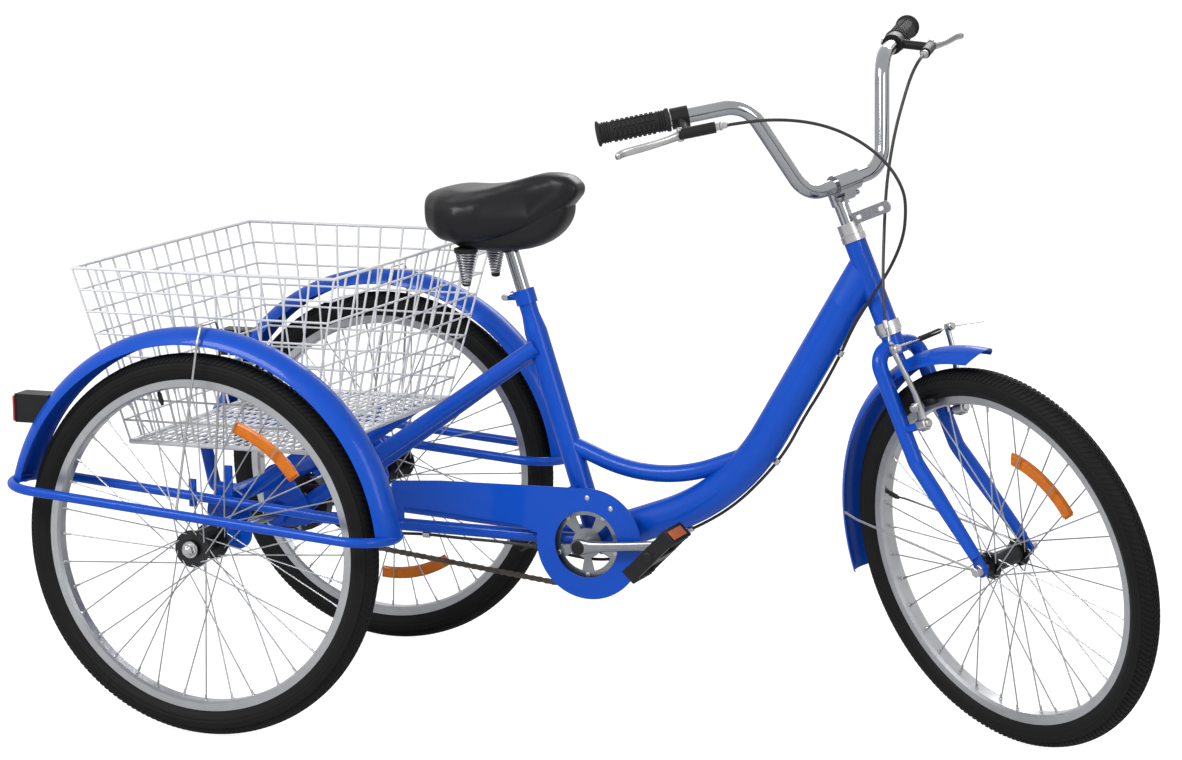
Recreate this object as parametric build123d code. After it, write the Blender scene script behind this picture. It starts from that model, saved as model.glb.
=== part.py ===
"""Adult tricycle with a wire basket between its rear wheels. Millimetres, +X forward, +Y left, +Z up."""
import math
import os

from build123d import *

# Wheels: the rim sets the size and the tyre stands on it
rimOuterRadius = 262.0
rimDepth = 16.0
rimWidth = 27.0
rimWall = 2.0
rimLip = 3.0
rimShoulder = 5.0
rimWell = 8.0
tyreHeight = 38.0
tyreWidth = 43.0
beadDepth = 5.0
wheelRadius = rimOuterRadius + tyreHeight
rimInnerRadius = rimOuterRadius - rimDepth
spokeCount = 36
spokeRadius = 1.1
spokeLead = 62.0
spokeFlangeStep = 2.4
spokeRimStep = 1.2
spokeRimSpread = 4.0
rearTrack = 682.0
rearFlangeRadius = 29.0
rearFlangeSpan = 64.0
rearHubOverhang = 16.0
frontFlangeRadius = 21.0
frontFlangeSpan = 62.0
frontHubOverhang = 12.0
flangeThickness = 3.5
hubBarrelRadius = 14.0
spokeHoleInset = 4.5
axleRadius = 7.0
frontAxleRadius = 5.0
axleStub = 12.0
axleGap = 2.0
runningGap = 0.05
seatGap = 0.3

# Steering: heights are rises above the foot of the head tube, and forward is ahead of the steering axis
headAngle = 68.0
headBase = (996.0, 2 * wheelRadius + 39.0)
restSteer = -30.0
forkRake = 60.0
headTubeFoot = 4.0
headTubeTop = 125.0
headTubeRadius = 17.0
steererRadius = 12.7
steererGap = 0.5
lowerCupFoot = -11.0
lowerCupRadius = 20.0
upperCupTop = 135.0
upperCupRadius = 19.0
lockNutRadius = 18.0
bracketRingFoot = 141.0
bracketRingTop = 144.0
steererTop = 152.0
crownTop = lowerCupFoot - seatGap
crownRaceHeight = 4.0
crownRaceRadius = 18.0
crownFoot = -44.0
crownRadius = 16.0
legRadius = 12.0
legFootRadius = 9.0
legTop = (-28.0, 4.0)
legShoulder = (-37.0, 43.0)
legKnee = (-194.0, 44.0)
legSplit = -236.0
legShoulderBend = 28.0
legKneeBend = 150.0
legEnd = (-8.0, 50.0, 16.0)
dropoutThickness = 5.0
dropoutRadius = 12.0
axleOverhang = 14.0

# Front brake on the fork legs
brakeBossRise = -146.0
brakeBossReach = 36.0
brakeBossRadius = 6.0
brakeArmReach = 45.0
brakeArmSide = 40.0
# Along the steering axis, forward of it and outward, from the arm's foot
brakeArmElbow = (62.0, 14.0, 8.0)
brakeArmTop = (121.0, 15.0, 18.0)
brakeArmBend = 60.0
brakeArmRadius = 5.5
brakeHubRadius = 9.0
brakePadPlace = 21.0
brakePadSize = (50.0, 10.0, 11.0)
brakePadSide = 18.5
# Rise, forward and side of the steering axis
noodleTop = (26.0, 61.0, -50.0)
noodleRadius = 2.8
noodleBend = 14.0
noodleEnd = -18.0
innerWireRadius = 1.4
bootEnds = (-2.0, 46.0)
bootRadius = 5.0
wireTailEnd = (-10.0, 55.0, 24.0)
padStudRadius = 5.0

# Handlebar and controls
stemTop = 217.0
stemReach = 29.0
stemRadius = 11.1
stemHeadFoot = 179.0
stemHeadTop = 207.0
stemHeadRadius = 14.0
clampRadius = 16.0
clampWidth = 46.0
clampEarDrop = 21.0
clampEarForward = 2.0
clampEarRadius = 6.5
clampEarWidth = 24.0
clampBoltRadius = 4.0
barRadius = 11.1
barLowWidth = 79.0
barTopRise = 372.0
barTopForward = 51.0
barTopWidth = 142.0
barEndRise = 360.0
barEndBack = 81.0
barEndWidth = 322.0
barBend = 48.0
gripRadius = 15.5
gripLength = 106.0
gripFlangeRadius = 17.5
gripFlangeWidth = 4.0
gripOverhang = 3.0
leverTilt = 8.0
leverRingPlace = (108.0, 134.0)
leverRingRadius = 16.0
leverArmPlace = 121.0
leverArmRadius = 7.0
leverBodyPlace = (112.0, 166.0)
leverBodyOut = 57.0
leverBodyRadius = 8.5
adjusterEnd = 175.0
adjusterRadius = 5.0
leverRoute = ((114.0, 60.0), (80.0, 72.0), (22.0, 82.0))
leverBend = 60.0
leverRadius = 4.5
leverBallRadius = 6.0

# Lamp bracket
lampPlateStart = (952.0, headBase[1] + 162.0)
lampPlateSlope = 22.0
lampPlateLength = 76.0
lampPlateRadius = 9.0
lampPlateThickness = 2.5
lampSlotSize = (14.0, 6.5)
lampSlots = (9.0, 63.0)
lampTabWidth = 14.0

# Frame
bottomBracket = (520.0, wheelRadius - 22.0)
shellRadius = 21.0
shellWidth = 70.0
seatTubeAngle = 72.7
seatTubeRadius = 18.0
seatNeckRadius = 14.0
seatNeckFoot = 324.0
seatNeckTop = 350.0
seatTubeTop = 389.0
collarRadius = 17.0
collarHeight = 22.0
collarLugReach = 34.0
collarLugDrop = 3.0
collarLugRadius = 5.0
postRadius = 11.1
postDepth = 110.0
postTop = 464.0
mainTubeRadius = 28.0
mainTubeBend = 325.0
mainTubeCorner = (bottomBracket[0] + 229.0, bottomBracket[1] + 82.0)
mainTubeHead = 83.0
mainTubeTaper = 62.0
mainTubeNeckWidth = 15.0
braceRadius = 13.5
braceBend = 260.0
braceCorner = (bottomBracket[0] + 103.0, bottomBracket[1] + 90.0)
braceFront = (bottomBracket[0] + 270.0, bottomBracket[1] + 154.0)
braceRear = 149.0
seatStayRadius = 13.0
seatStayTop = 302.0
seatStaySide = 14.0
seatStayFoot = (36.0, 8.0)
chainStayRadius = 10.0
chainStaySpread = 24.0
chainStayFoot = (42.0, -4.0)
crossTubeRadius = 14.0
crossTubeHeight = wheelRadius + 58.0
carrierHalfWidth = 250.0
plateThickness = 6.0
stayLap = 1.0
plateTopRadius = 37.0
plateTopHeight = wheelRadius + 34.0
plateFootRadius = 24.0
plateFootX = 14.0
innerPlateFace = 83.0
innerPlateRim = 8.0
lugPlace = (50.0, wheelRadius)
lugRadius = 16.0
bearingRadius = 18.0
bearingWidth = 30.0
innerBearingReach = (6.0, 16.0)
strutRadius = 10.0
strutSide = 200.0
strutRearElbow = (-50.0, crossTubeHeight + 3.0)
strutRearTop = -68.0
strutFrontTop = 125.0
strutBend = 14.0
strutSink = 6.0
strutOverrun = 2.0

# Wheel guards, fenders and reflectors
guardRadius = 7.5
guardOuter = 404.0
guardInner = 278.0
guardRear = (-324.0, wheelRadius + 84.0)
guardFront = (328.0, wheelRadius + 31.0)
guardTabSize = (20.0, 5.0)
strapSize = (12.0, 4.0)
straps = ((-52.0, -15.0, 29.0), (12.0, -9.0, 54.0))
fenderRadius = wheelRadius + 37.0
fenderWidth = 64.0
fenderDepth = 24.0
fenderSheet = 1.2
fenderRise = 3.0
fenderStart = 5.5
fenderEnd = 165.5
fenderTabSize = (22.0, 26.0, 4.0)
stayWireRadius = 2.0
stayWireX = (-10.0, 22.0)
stayWireFoot = 60.0
stayWireEdge = 38.0
stayWireCrown = 24.0
stayWireBend = 8.0
stayWireRise = 4.0
frontFenderRadius = wheelRadius + 34.0
frontFenderWidth = 56.0
frontFenderDepth = 20.0
frontFenderStart = 88.5
frontFenderEnd = 194.5
frontFenderTip = -22.0
fenderBoltRadius = 7.0
fenderBoltLap = 6.0
reflectorSize = (60.0, 38.0, 45.0)
reflectorRear = -313.0
reflectorFoot = wheelRadius + 178.0

# Drive
chainLine = -45.0
chainPitch = 12.7
ringTeeth = 36
sprocketTeeth = 18
sprocketWidth = 2.2
toothGap = 3.0
chainWidth = 8.0
chainPinHeight = 4.2
chainWaistHeight = 3.2
chainInside = 2.5
spindleRadius = 8.0
spiderRadius = 60.0
spiderLap = 2.0
spiderThickness = 3.0
spiderArms = 5
spiderFirstArm = 56.0
spiderWindow = (24.0, 45.0)
spiderWindowHalf = 23.0
spiderBoltCircle = 50.0
spiderBoltRadius = 4.0
crankLength = 152.0
crankRise = 5.0
crankOffset = 72.0
crankThickness = 12.0
crankBossRadius = 14.0
crankEyeRadius = 10.0
pedalLength = 93.0
pedalWidth = 80.0
pedalThickness = 24.0
pedalRail = 10.0
pedalBarrelRadius = 11.0
pedalAxleRadius = 5.0
pedalTilt = 45.0
pedalGap = 10.0
pedalLap = 2.0
guardSheet = 2.5
guardOffset = 13.0
guardRingRadius = 88.0
guardRingHole = 53.0
guardRingShift = (9.0, 2.0)
guardTail = (-333.0, 42.0, 88.0)
guardTailChamfer = 6.0
guardTopFall = 1.0
guardWaist = (-244.0, 37.0, -107.0, 25.0)
guardChin = (-88.0, 16.0)
guardArmX = -28.0
guardArmHeight = 84.0
guardArmRadius = 4.0
guardFootX = -324.0
guardFootSize = (16.0, 26.0)
guardFootLap = 4.0
brakeDrumRadius = 46.0
brakeDrumWidth = 22.0
brakeDrumOffset = 22.0
brakeDrumBore = axleRadius + 1.0

# Saddle: distance along X, width, underside and top of each section, the heights above the bottom bracket
saddleSections = (
    (247.0, 84.0, 494.0, 540.0),
    (262.0, 140.0, 480.0, 549.0),
    (290.0, 192.0, 466.0, 550.0),
    (326.0, 218.0, 461.0, 548.0),
    (360.0, 200.0, 465.0, 552.0),
    (395.0, 150.0, 472.0, 561.0),
    (430.0, 104.0, 482.0, 571.0),
    (462.0, 78.0, 500.0, 577.0),
    (485.0, 64.0, 528.0, 574.0),
    (504.0, 44.0, 544.0, 560.0),
)
saddleRounding = 0.42
saddlePanFoot = 455.0
saddlePanTop = 475.0
saddlePanNose = (430.0, 18.0)
saddleClampRadius = 12.0
saddleClampWidth = 27.0
saddleClampX = 385.0
springPlace = (327.0, 57.0)
springCapRadius = 20.0
springTopRadius = 18.0
springFootRadius = 5.0
springHeight = 54.0
springCoils = 12
springGroove = 1.6

# Basket: rear, front, half width and height of its top and its floor
basketTop = (-237.0, 217.0, 300.0, wheelRadius + 416.0)
basketFloor = (-166.0, 148.0, 258.0, wheelRadius + 138.0)
basketWire = 3.0
basketRim = 5.0
basketFloorRim = 8.0
basketRows = 8
basketColumns = 11
basketCross = 14
basketFloorBars = 2 * basketColumns

# Brake cables
cableRadius = 2.5
cableGap = 2.0
bendShare = 0.45
cableRest = mainTubeRadius + cableRadius + cableGap
# Routes as rise, forward and side of the steering axis
frontCableRoute = (
    (362.0, 85.0, 184.0),
    (342.0, 79.0, 160.0),
    (310.0, 70.0, 135.0),
    (277.0, 62.0, 110.0),
    (243.0, 58.0, 84.0),
    (209.0, 58.0, 57.0),
    (175.0, 62.0, 30.0),
    (137.0, 66.0, 3.0),
    (97.0, 66.0, -21.0),
    (60.0, 65.0, -39.0),
)
freeCableRoute = (
    (361.0, 87.0, -188.0),
    (358.0, 107.0, -150.0),
    (348.0, 132.0, -110.0),
    (331.0, 158.0, -79.0),
    (305.0, 184.0, -57.0),
    (273.0, 201.0, -44.0),
    (238.0, 201.0, -36.0),
    (207.0, 186.0, -32.0),
)
neckCableRoute = (
    (143.0, 107.0, -72.0),
    (87.0, 49.0, -30.0),
    (32.0, -12.0, -23.0),
    (-10.0, -58.0, -8.0),
)
# Share of the main tube's run and slack below it
tubeCableRoute = (
    (0.12, 0.0),
    (0.22, 3.0),
    (0.32, 0.0),
    (0.42, 3.0),
    (0.52, 0.0),
    (0.62, 1.0),
    (0.72, 0.0),
    (0.82, 2.0),
)
# Measured from the bottom bracket, along X, Y and height
stayCableRoute = (
    (66.0, -8.0, -22.0),
    (8.0, -13.0, -35.0),
    (-52.0, -22.0, -25.0),
    (-104.0, -34.0, -13.0),
    (-156.0, -40.0, -9.0),
    (-214.0, -46.0, -7.0),
    (-272.0, -51.0, -3.0),
    (-326.0, -47.0, -6.0),
    (-378.0, -31.0, -12.0),
    (-424.0, -10.0, -16.0),
    (-458.0, 6.0, -15.0),
    (-479.5, 11.0, -0.5),
)


def rod(start, end, radius):
    start, end = Vector(*start), Vector(*end)
    run = end - start
    return Solid.make_cylinder(radius, run.length, Plane(origin=start, z_dir=run))


def across(point, low, high, radius):
    """Rod along Y through a point of the side view."""
    return rod((point[0], low, point[1]), (point[0], high, point[1]), radius)


def bentTube(points, bends, radius):
    path = FilletPolyline(*points, radius=bends)
    return sweep(Plane(origin=path @ 0, z_dir=path % 0) * Circle(radius), path=path)


def sideFace(sketch, thickness, y):
    """Flat sketch of the side view, X and height, made into a plate centred on y."""
    return extrude(sketch, thickness / 2, both=True).rotate(Axis.X, 90).moved(Location((0, y, 0)))


def headPoint(rise, forward=0.0, side=0.0):
    """Point at a rise above the head tube's foot, ahead of and beside the steering axis."""
    back = rise / math.tan(math.radians(headAngle))
    return (headBase[0] - back + forward, side, headBase[1] + rise)


def onHead(low, high, radius):
    return rod(headPoint(low), headPoint(high), radius)


def frontHub():
    """Front wheel centre with the steering straight: the rake is square to the axis."""
    drop = (headBase[1] + forkRake * math.cos(lean) - wheelRadius) / math.sin(lean)
    x = headBase[0] + drop * math.cos(lean) + forkRake * math.sin(lean)
    return (x, 0.0, wheelRadius)


def largest(shape):
    return max(shape.solids(), key=lambda solid: solid.volume)


def turned(shape):
    return shape.rotate(steerAxis, restSteer)


def mirrored(shape):
    return shape.mirror(Plane.XZ)


def both(shape):
    return Compound(children=[*shape.solids(), *mirrored(shape).solids()])


lean = math.radians(headAngle)
alongHead = Vector(-math.cos(lean), 0, math.sin(lean))
beforeHead = Vector(math.sin(lean), 0, math.cos(lean))
steerAxis = Axis(headPoint(0), alongHead)
hubAt = frontHub()
parts = {}


# Wheels
def wheelRim():
    half = rimWidth / 2
    wellRadius = rimOuterRadius - rimWell
    bedRadius = wellRadius + rimWall
    outline = Polyline(
        (rimOuterRadius, -half),
        (rimInnerRadius + rimLip, -half),
        (rimInnerRadius, rimShoulder - half),
        (rimInnerRadius, half - rimShoulder),
        (rimInnerRadius + rimLip, half),
        (rimOuterRadius, half),
        (rimOuterRadius, half - rimWall),
        (bedRadius, half - rimWall),
        (wellRadius, 0),
        (bedRadius, rimWall - half),
        (rimOuterRadius, rimWall - half),
        (rimOuterRadius, -half),
    )
    return revolve(make_face(outline), Axis.Y)


def wheelTyre(rim):
    height = wheelRadius - rimOuterRadius + beadDepth
    section = Pos(wheelRadius - height / 2, 0) * Ellipse(height / 2, tyreWidth / 2)
    return revolve(section, Axis.Y) - rim


def wheelHub(flangeRadius, flangeSpan, length, bore):
    hub = rod((0, -length / 2, 0), (0, length / 2, 0), hubBarrelRadius)
    for middle in (-flangeSpan / 2, flangeSpan / 2):
        low, high = middle - flangeThickness / 2, middle + flangeThickness / 2
        hub += rod((0, low, 0), (0, high, 0), flangeRadius)
    return hub - rod((0, -length, 0), (0, length, 0), bore)


def wheelSpokes(flangeRadius, flangeSpan, hub, rim):
    """Crossed spokes: on each flange half of them lead and half trail, on its two faces."""
    spokes = []
    perSide = spokeCount // 2
    inner = flangeRadius - spokeHoleInset
    for side in (-1, 1):
        first = 0 if side > 0 else 180 / perSide
        for index in range(perSide):
            trail = 1 if index % 2 else -1
            angle = math.radians(360 / perSide * index + first)
            hubAngle = angle + trail * math.radians(spokeLead)
            start = (
                inner * math.cos(hubAngle),
                side * flangeSpan / 2 + trail * spokeFlangeStep,
                inner * math.sin(hubAngle),
            )
            end = (
                rimInnerRadius * math.cos(angle),
                side * spokeRimSpread + trail * spokeRimStep,
                rimInnerRadius * math.sin(angle),
            )
            spokes.append(largest(rod(start, end, spokeRadius) - hub - rim))
    return Compound(children=spokes)


def addWheel(name, place, flangeRadius, flangeSpan, hubLength, bore):
    rim = wheelRim()
    hub = wheelHub(flangeRadius, flangeSpan, hubLength, bore)
    parts[f"{name}_rim"] = place(rim)
    parts[f"{name}_tyre"] = place(wheelTyre(rim))
    parts[f"{name}_hub"] = place(hub)
    parts[f"{name}_spokes"] = place(wheelSpokes(flangeRadius, flangeSpan, hub, rim))


def rearPlace(side):
    return lambda shape: shape.moved(Location((0, side * rearTrack / 2, wheelRadius)))


def frontPlace(shape):
    return turned(shape.moved(Location(hubAt)))


rearHubLength = rearFlangeSpan + rearHubOverhang
frontHubLength = frontFlangeSpan + frontHubOverhang
addWheel("rear_wheel_right", rearPlace(-1), rearFlangeRadius, rearFlangeSpan, rearHubLength, axleRadius)
addWheel("rear_wheel_left", rearPlace(1), rearFlangeRadius, rearFlangeSpan, rearHubLength, axleRadius)
addWheel("front_wheel", frontPlace, frontFlangeRadius, frontFlangeSpan, frontHubLength,
         frontAxleRadius + runningGap)

# The driven axle runs from the right wheel through both inner bearings; the left wheel has its own.
axleLine = (0.0, wheelRadius)
axleEnd = rearTrack / 2 + rearHubLength / 2 + axleStub
axleSplit = brakeDrumOffset + axleStub + bearingWidth
parts["rear_axle_right"] = across(axleLine, -axleEnd, axleSplit, axleRadius)
parts["rear_axle_left"] = across(axleLine, axleSplit + axleGap, axleEnd, axleRadius)


# Fork, front fender and front brake: made with the steering straight, then turned
def fender(radius, width, depth, start, end):
    """Curved strip round the Y axis, from one angle to another, measured from +X towards +Z."""
    edge = radius - depth
    inside = radius - fenderSheet
    outer = ThreePointArc((edge, -width / 2), (radius, 0), (edge, width / 2))
    inner = ThreePointArc((edge, width / 2 - fenderSheet), (inside, 0), (edge, fenderSheet - width / 2))
    outline = outer + Line(outer @ 1, inner @ 0) + inner + Line(inner @ 1, outer @ 0)
    strip = revolve(make_face(outline), Axis.Y, revolution_arc=end - start)
    return strip.rotate(Axis.Y, -end)


crown = onHead(crownFoot, crownTop - crownRaceHeight, crownRadius)
steerer = onHead(crownFoot, steererTop, steererRadius)
legFoot = Vector(hubAt[0] + legEnd[0], legEnd[1], hubAt[2] + legEnd[2])
knee = Vector(*headPoint(legKnee[0], 0, legKnee[1]))
lowerRun = legFoot - knee
legJoin = knee + lowerRun * ((legKnee[0] - legSplit) / -lowerRun.Z)
leg = bentTube(
    [headPoint(legTop[0], 0, legTop[1]), headPoint(legShoulder[0], 0, legShoulder[1]), knee, legJoin],
    [legShoulderBend, legShoulderBend], legRadius)
legLower = Solid.make_cone(
    legRadius, legFootRadius, (legFoot - legJoin).length, Plane(origin=legJoin, z_dir=lowerRun))
dropoutOutline = make_hull([
    *(Pos(hubAt[0], hubAt[2]) * Circle(dropoutRadius)).edges(),
    *(Pos(legFoot.X, legFoot.Z) * Circle(legFootRadius)).edges(),
])
dropout = sideFace(dropoutOutline, dropoutThickness, legEnd[1])
bossRoot = Vector(*headPoint(brakeBossRise, 0, legKnee[1]))
boss = rod(bossRoot, bossRoot + beforeHead * brakeBossReach, brakeBossRadius)
blade = leg + legLower + dropout + boss
axleHole = across((hubAt[0], hubAt[2]), -rearTrack, rearTrack, frontAxleRadius)
fork = crown + steerer + blade + mirrored(blade) - axleHole
frontFender = fender(frontFenderRadius, frontFenderWidth, frontFenderDepth, frontFenderStart, frontFenderEnd)
tipRadius = frontFenderWidth / 2
tipBlock = Pos(frontFenderTip + tipRadius, 0, frontFenderRadius) * Box(2 * tipRadius, wheelRadius, wheelRadius)
tipRound = Pos(frontFenderTip, 0, frontFenderRadius) * Cylinder(tipRadius, wheelRadius)
frontFender = largest(frontFender - (tipBlock - tipRound)).moved(Location(hubAt))
towardHub = (Vector(*hubAt) - Vector(*headPoint(crownFoot))).normalized()
fenderSeat = Vector(*hubAt) - towardHub * (frontFenderRadius - fenderSheet / 2)
fork += rod(headPoint(crownFoot + fenderBoltLap), fenderSeat, fenderBoltRadius)
fork -= frontFender
axleHalf = legEnd[1] + axleOverhang
parts["fork"] = turned(fork)
parts["front_fender"] = turned(frontFender)
parts["front_axle"] = turned(across((hubAt[0], hubAt[2]), -axleHalf, axleHalf, frontAxleRadius))



def fromFoot(along, forward, outward):
    """Point of the left brake arm, from its foot."""
    return armFoot + alongHead * along + beforeHead * forward + Vector(0, outward, 0)


armFoot = Vector(*headPoint(brakeBossRise, 0, brakeArmSide)) + beforeHead * brakeArmReach
armTop = fromFoot(*brakeArmTop)
armHubHalf = beforeHead * (brakeArmReach - brakeBossReach)
arm = bentTube([armFoot, fromFoot(*brakeArmElbow), armTop], [brakeArmBend], brakeArmRadius)
armHub = rod(armFoot - armHubHalf, armFoot + armHubHalf, brakeHubRadius)
arm = arm + Sphere(brakeArmRadius).moved(Location(armTop)) + armHub
padCentre = armFoot + alongHead * brakePadPlace
padRadial = (Vector(padCentre.X, 0, padCentre.Z) - Vector(*hubAt)).normalized()
padLength, padHeight, padDepth = brakePadSize
padPlane = Plane(origin=(padCentre.X, brakePadSide, padCentre.Z), x_dir=padRadial, z_dir=(0, 1, 0))
pad = Solid.make_box(padHeight, padLength, padDepth, padPlane).moved(
    Location(padRadial * (-padHeight / 2) - padPlane.y_dir * (padLength / 2)))
padStud = across((padCentre.X, padCentre.Z), brakePadSide + padDepth / 2, brakeArmSide, padStudRadius)
arm = arm + pad + padStud - boss
rightTop = Vector(armTop.X, -armTop.Y, armTop.Z)


def overTyre(side):
    """Point between the tops of the two brake arms."""
    return Vector(armTop.X, side, armTop.Z)


noodleStart = headPoint(*noodleTop)
noodle = bentTube([noodleStart, rightTop, overTyre(noodleEnd)], [noodleBend], noodleRadius)
boot = rod(overTyre(bootEnds[0]), overTyre(bootEnds[1]), bootRadius)
innerWire = rod(overTyre(noodleEnd), armTop, innerWireRadius)
tailRun = alongHead * wireTailEnd[0] + beforeHead * wireTailEnd[1] + Vector(0, wireTailEnd[2], 0)
wireTail = rod(armTop, armTop + tailRun, innerWireRadius)
parts["front_brake"] = turned(mirrored(arm) + noodle + innerWire + boot + arm + wireTail)

# Headset and lamp bracket
steererBore = onHead(lowerCupFoot - steererTop, 2 * steererTop, steererRadius + steererGap)
lowerCup = onHead(lowerCupFoot, headTubeFoot, lowerCupRadius)
upperCup = onHead(headTubeTop, upperCupTop, upperCupRadius)
cups = (lowerCup + upperCup) - steererBore
parts["headset_cups"] = Compound(children=[*cups.solids()])
parts["head_tube"] = onHead(headTubeFoot, headTubeTop, headTubeRadius) - steererBore
nuts = onHead(upperCupTop + seatGap, bracketRingFoot, lockNutRadius)
nuts += onHead(bracketRingTop, steererTop, lockNutRadius)
race = onHead(crownTop - crownRaceHeight, crownTop, crownRaceRadius)
nutSolids = [*(nuts - steerer).solids(), *(race - steerer).solids()]
parts["headset_nuts"] = turned(Compound(children=nutSolids))

slope = math.radians(lampPlateSlope)


def lampPoint(distance):
    return (lampPlateStart[0] + distance * math.cos(slope), lampPlateStart[1] + distance * math.sin(slope))


plateOutline = make_hull([
    *(Pos(*lampPoint(0)) * Circle(lampPlateRadius)).edges(),
    *(Pos(*lampPoint(lampPlateLength)) * Circle(lampPlateRadius)).edges(),
])
for distance in lampSlots:
    plateOutline -= Pos(*lampPoint(distance)) * Rot(0, 0, lampPlateSlope) * SlotOverall(*lampSlotSize)
lampPlate = sideFace(plateOutline, lampPlateThickness, 0)
ringMiddle = headPoint((bracketRingFoot + bracketRingTop) / 2)
lampTab = Pos(lampPlateStart[0] - lampTabWidth / 4, 0, (ringMiddle[2] + lampPlateStart[1]) / 2) * Box(
    lampTabWidth, lampPlateThickness, lampPlateStart[1] - ringMiddle[2])
lampRing = onHead(bracketRingFoot, bracketRingTop, lockNutRadius)
quill = onHead(steererTop, stemHeadTop, stemRadius + seatGap)
bracket = lampRing + lampPlate + lampTab - steerer - nuts - quill
parts["lamp_bracket"] = turned(largest(bracket))

# Stem, handlebar, grips and levers
clampAt = headPoint(stemTop, stemReach)
bar = bentTube(
    [
        headPoint(barEndRise, -barEndBack, -barEndWidth),
        headPoint(barTopRise, barTopForward, -barTopWidth),
        headPoint(stemTop, stemReach, -barLowWidth),
        headPoint(stemTop, stemReach, barLowWidth),
        headPoint(barTopRise, barTopForward, barTopWidth),
        headPoint(barEndRise, -barEndBack, barEndWidth),
    ],
    [barBend, barBend, barBend, barBend], barRadius)
clamp = across((clampAt[0], clampAt[2]), -clampWidth / 2, clampWidth / 2, clampRadius)
earAt = (clampAt[0] + clampEarForward, clampAt[2] - clampEarDrop)
ears = sideFace(make_hull([
    *(Pos(clampAt[0], clampAt[2]) * Circle(stemHeadRadius)).edges(),
    *(Pos(*earAt) * Circle(clampEarRadius)).edges(),
]), clampEarWidth, 0)
clampBolt = across(earAt, -clampWidth / 2, clampWidth / 2, clampBoltRadius)
neckFoot = headPoint(stemHeadTop)
stem = onHead(steererTop, stemHeadTop, stemRadius) + onHead(stemHeadFoot, stemHeadTop, stemHeadRadius)
stem += Sphere(stemHeadRadius).moved(Location(neckFoot)) + rod(neckFoot, clampAt, stemHeadRadius)
parts["stem"] = turned(stem + clamp + ears + clampBolt - bar)
parts["handlebar"] = turned(bar)

gripEnd = Vector(*headPoint(barEndRise, -barEndBack, barEndWidth))
gripRun = (gripEnd - Vector(*headPoint(barTopRise, barTopForward, barTopWidth))).normalized()
ahead = (Vector(1, 0, 0) - gripRun * gripRun.X).normalized()
below = gripRun.cross(ahead)
below = below * -1 if below.Z > 0 else below
tilt = math.radians(leverTilt)
leverOut = ahead * math.cos(tilt) + below * math.sin(tilt)


def onLever(back, out=0.0):
    """Point a distance inboard of the bar's end and a distance out from the bar."""
    return gripEnd - gripRun * back + leverOut * out


grip = rod(onLever(-gripOverhang), onLever(gripLength), gripRadius)
grip += rod(onLever(-gripOverhang), onLever(gripFlangeWidth - gripOverhang), gripFlangeRadius)
grip += rod(onLever(gripLength - gripFlangeWidth), onLever(gripLength), gripFlangeRadius)
parts["grips"] = turned(both(grip - bar))
leverBody = rod(onLever(leverRingPlace[0]), onLever(leverRingPlace[1]), leverRingRadius)
leverBody += rod(onLever(leverArmPlace), onLever(leverArmPlace, leverBodyOut), leverArmRadius)
leverBody += rod(onLever(leverBodyPlace[0], leverBodyOut), onLever(leverBodyPlace[1], leverBodyOut),
                 leverBodyRadius)
leverBody += rod(onLever(leverBodyPlace[1], leverBodyOut), onLever(adjusterEnd, leverBodyOut), adjusterRadius)
leverBody -= bar
lever = bentTube([onLever(*point) for point in leverRoute], [leverBend], leverRadius)
lever += Sphere(leverBallRadius).moved(Location(onLever(*leverRoute[-1])))
parts["brake_lever_bodies"] = turned(both(leverBody))
parts["brake_levers"] = turned(both(largest(lever - leverBody)))


# Frame
def seatPoint(rise, side=0.0):
    """Point on the seat tube's centre line, at a rise above the bottom bracket."""
    back = rise / math.tan(math.radians(seatTubeAngle))
    return (bottomBracket[0] - back, side, bottomBracket[1] + rise)


def onSeat(low, high, radius):
    return rod(seatPoint(low), seatPoint(high), radius)


shellHalf = shellWidth / 2
shell = across(bottomBracket, -shellHalf, shellHalf, shellRadius)
shellBore = across(bottomBracket, -shellWidth, shellWidth, spindleRadius + runningGap)
parts["bottom_bracket_shell"] = shell - shellBore
seatLower = onSeat(0, seatNeckFoot, seatTubeRadius)
neck = Solid.make_cone(
    seatTubeRadius, seatNeckRadius, (Vector(*seatPoint(seatNeckTop)) - Vector(*seatPoint(seatNeckFoot))).length,
    Plane(origin=seatPoint(seatNeckFoot), z_dir=Vector(*seatPoint(1)) - Vector(*seatPoint(0))))
collar = onSeat(seatTubeTop - collarHeight, seatTubeTop, collarRadius)
lugRoot = Vector(*seatPoint(seatTubeTop - collarHeight / 2))
collarLug = rod(lugRoot, lugRoot - Vector(collarLugReach, 0, collarLugDrop), collarLugRadius)
seatTube = seatLower + neck + onSeat(seatNeckTop, seatTubeTop, seatNeckRadius) + collar + collarLug
postFoot = seatNeckFoot - postDepth
seatTube = seatTube - onSeat(postFoot, postTop, postRadius) - shell
parts["seat_tube"] = seatTube
post = onSeat(postFoot, postTop, postRadius)
parts["seat_post"] = post

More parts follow.
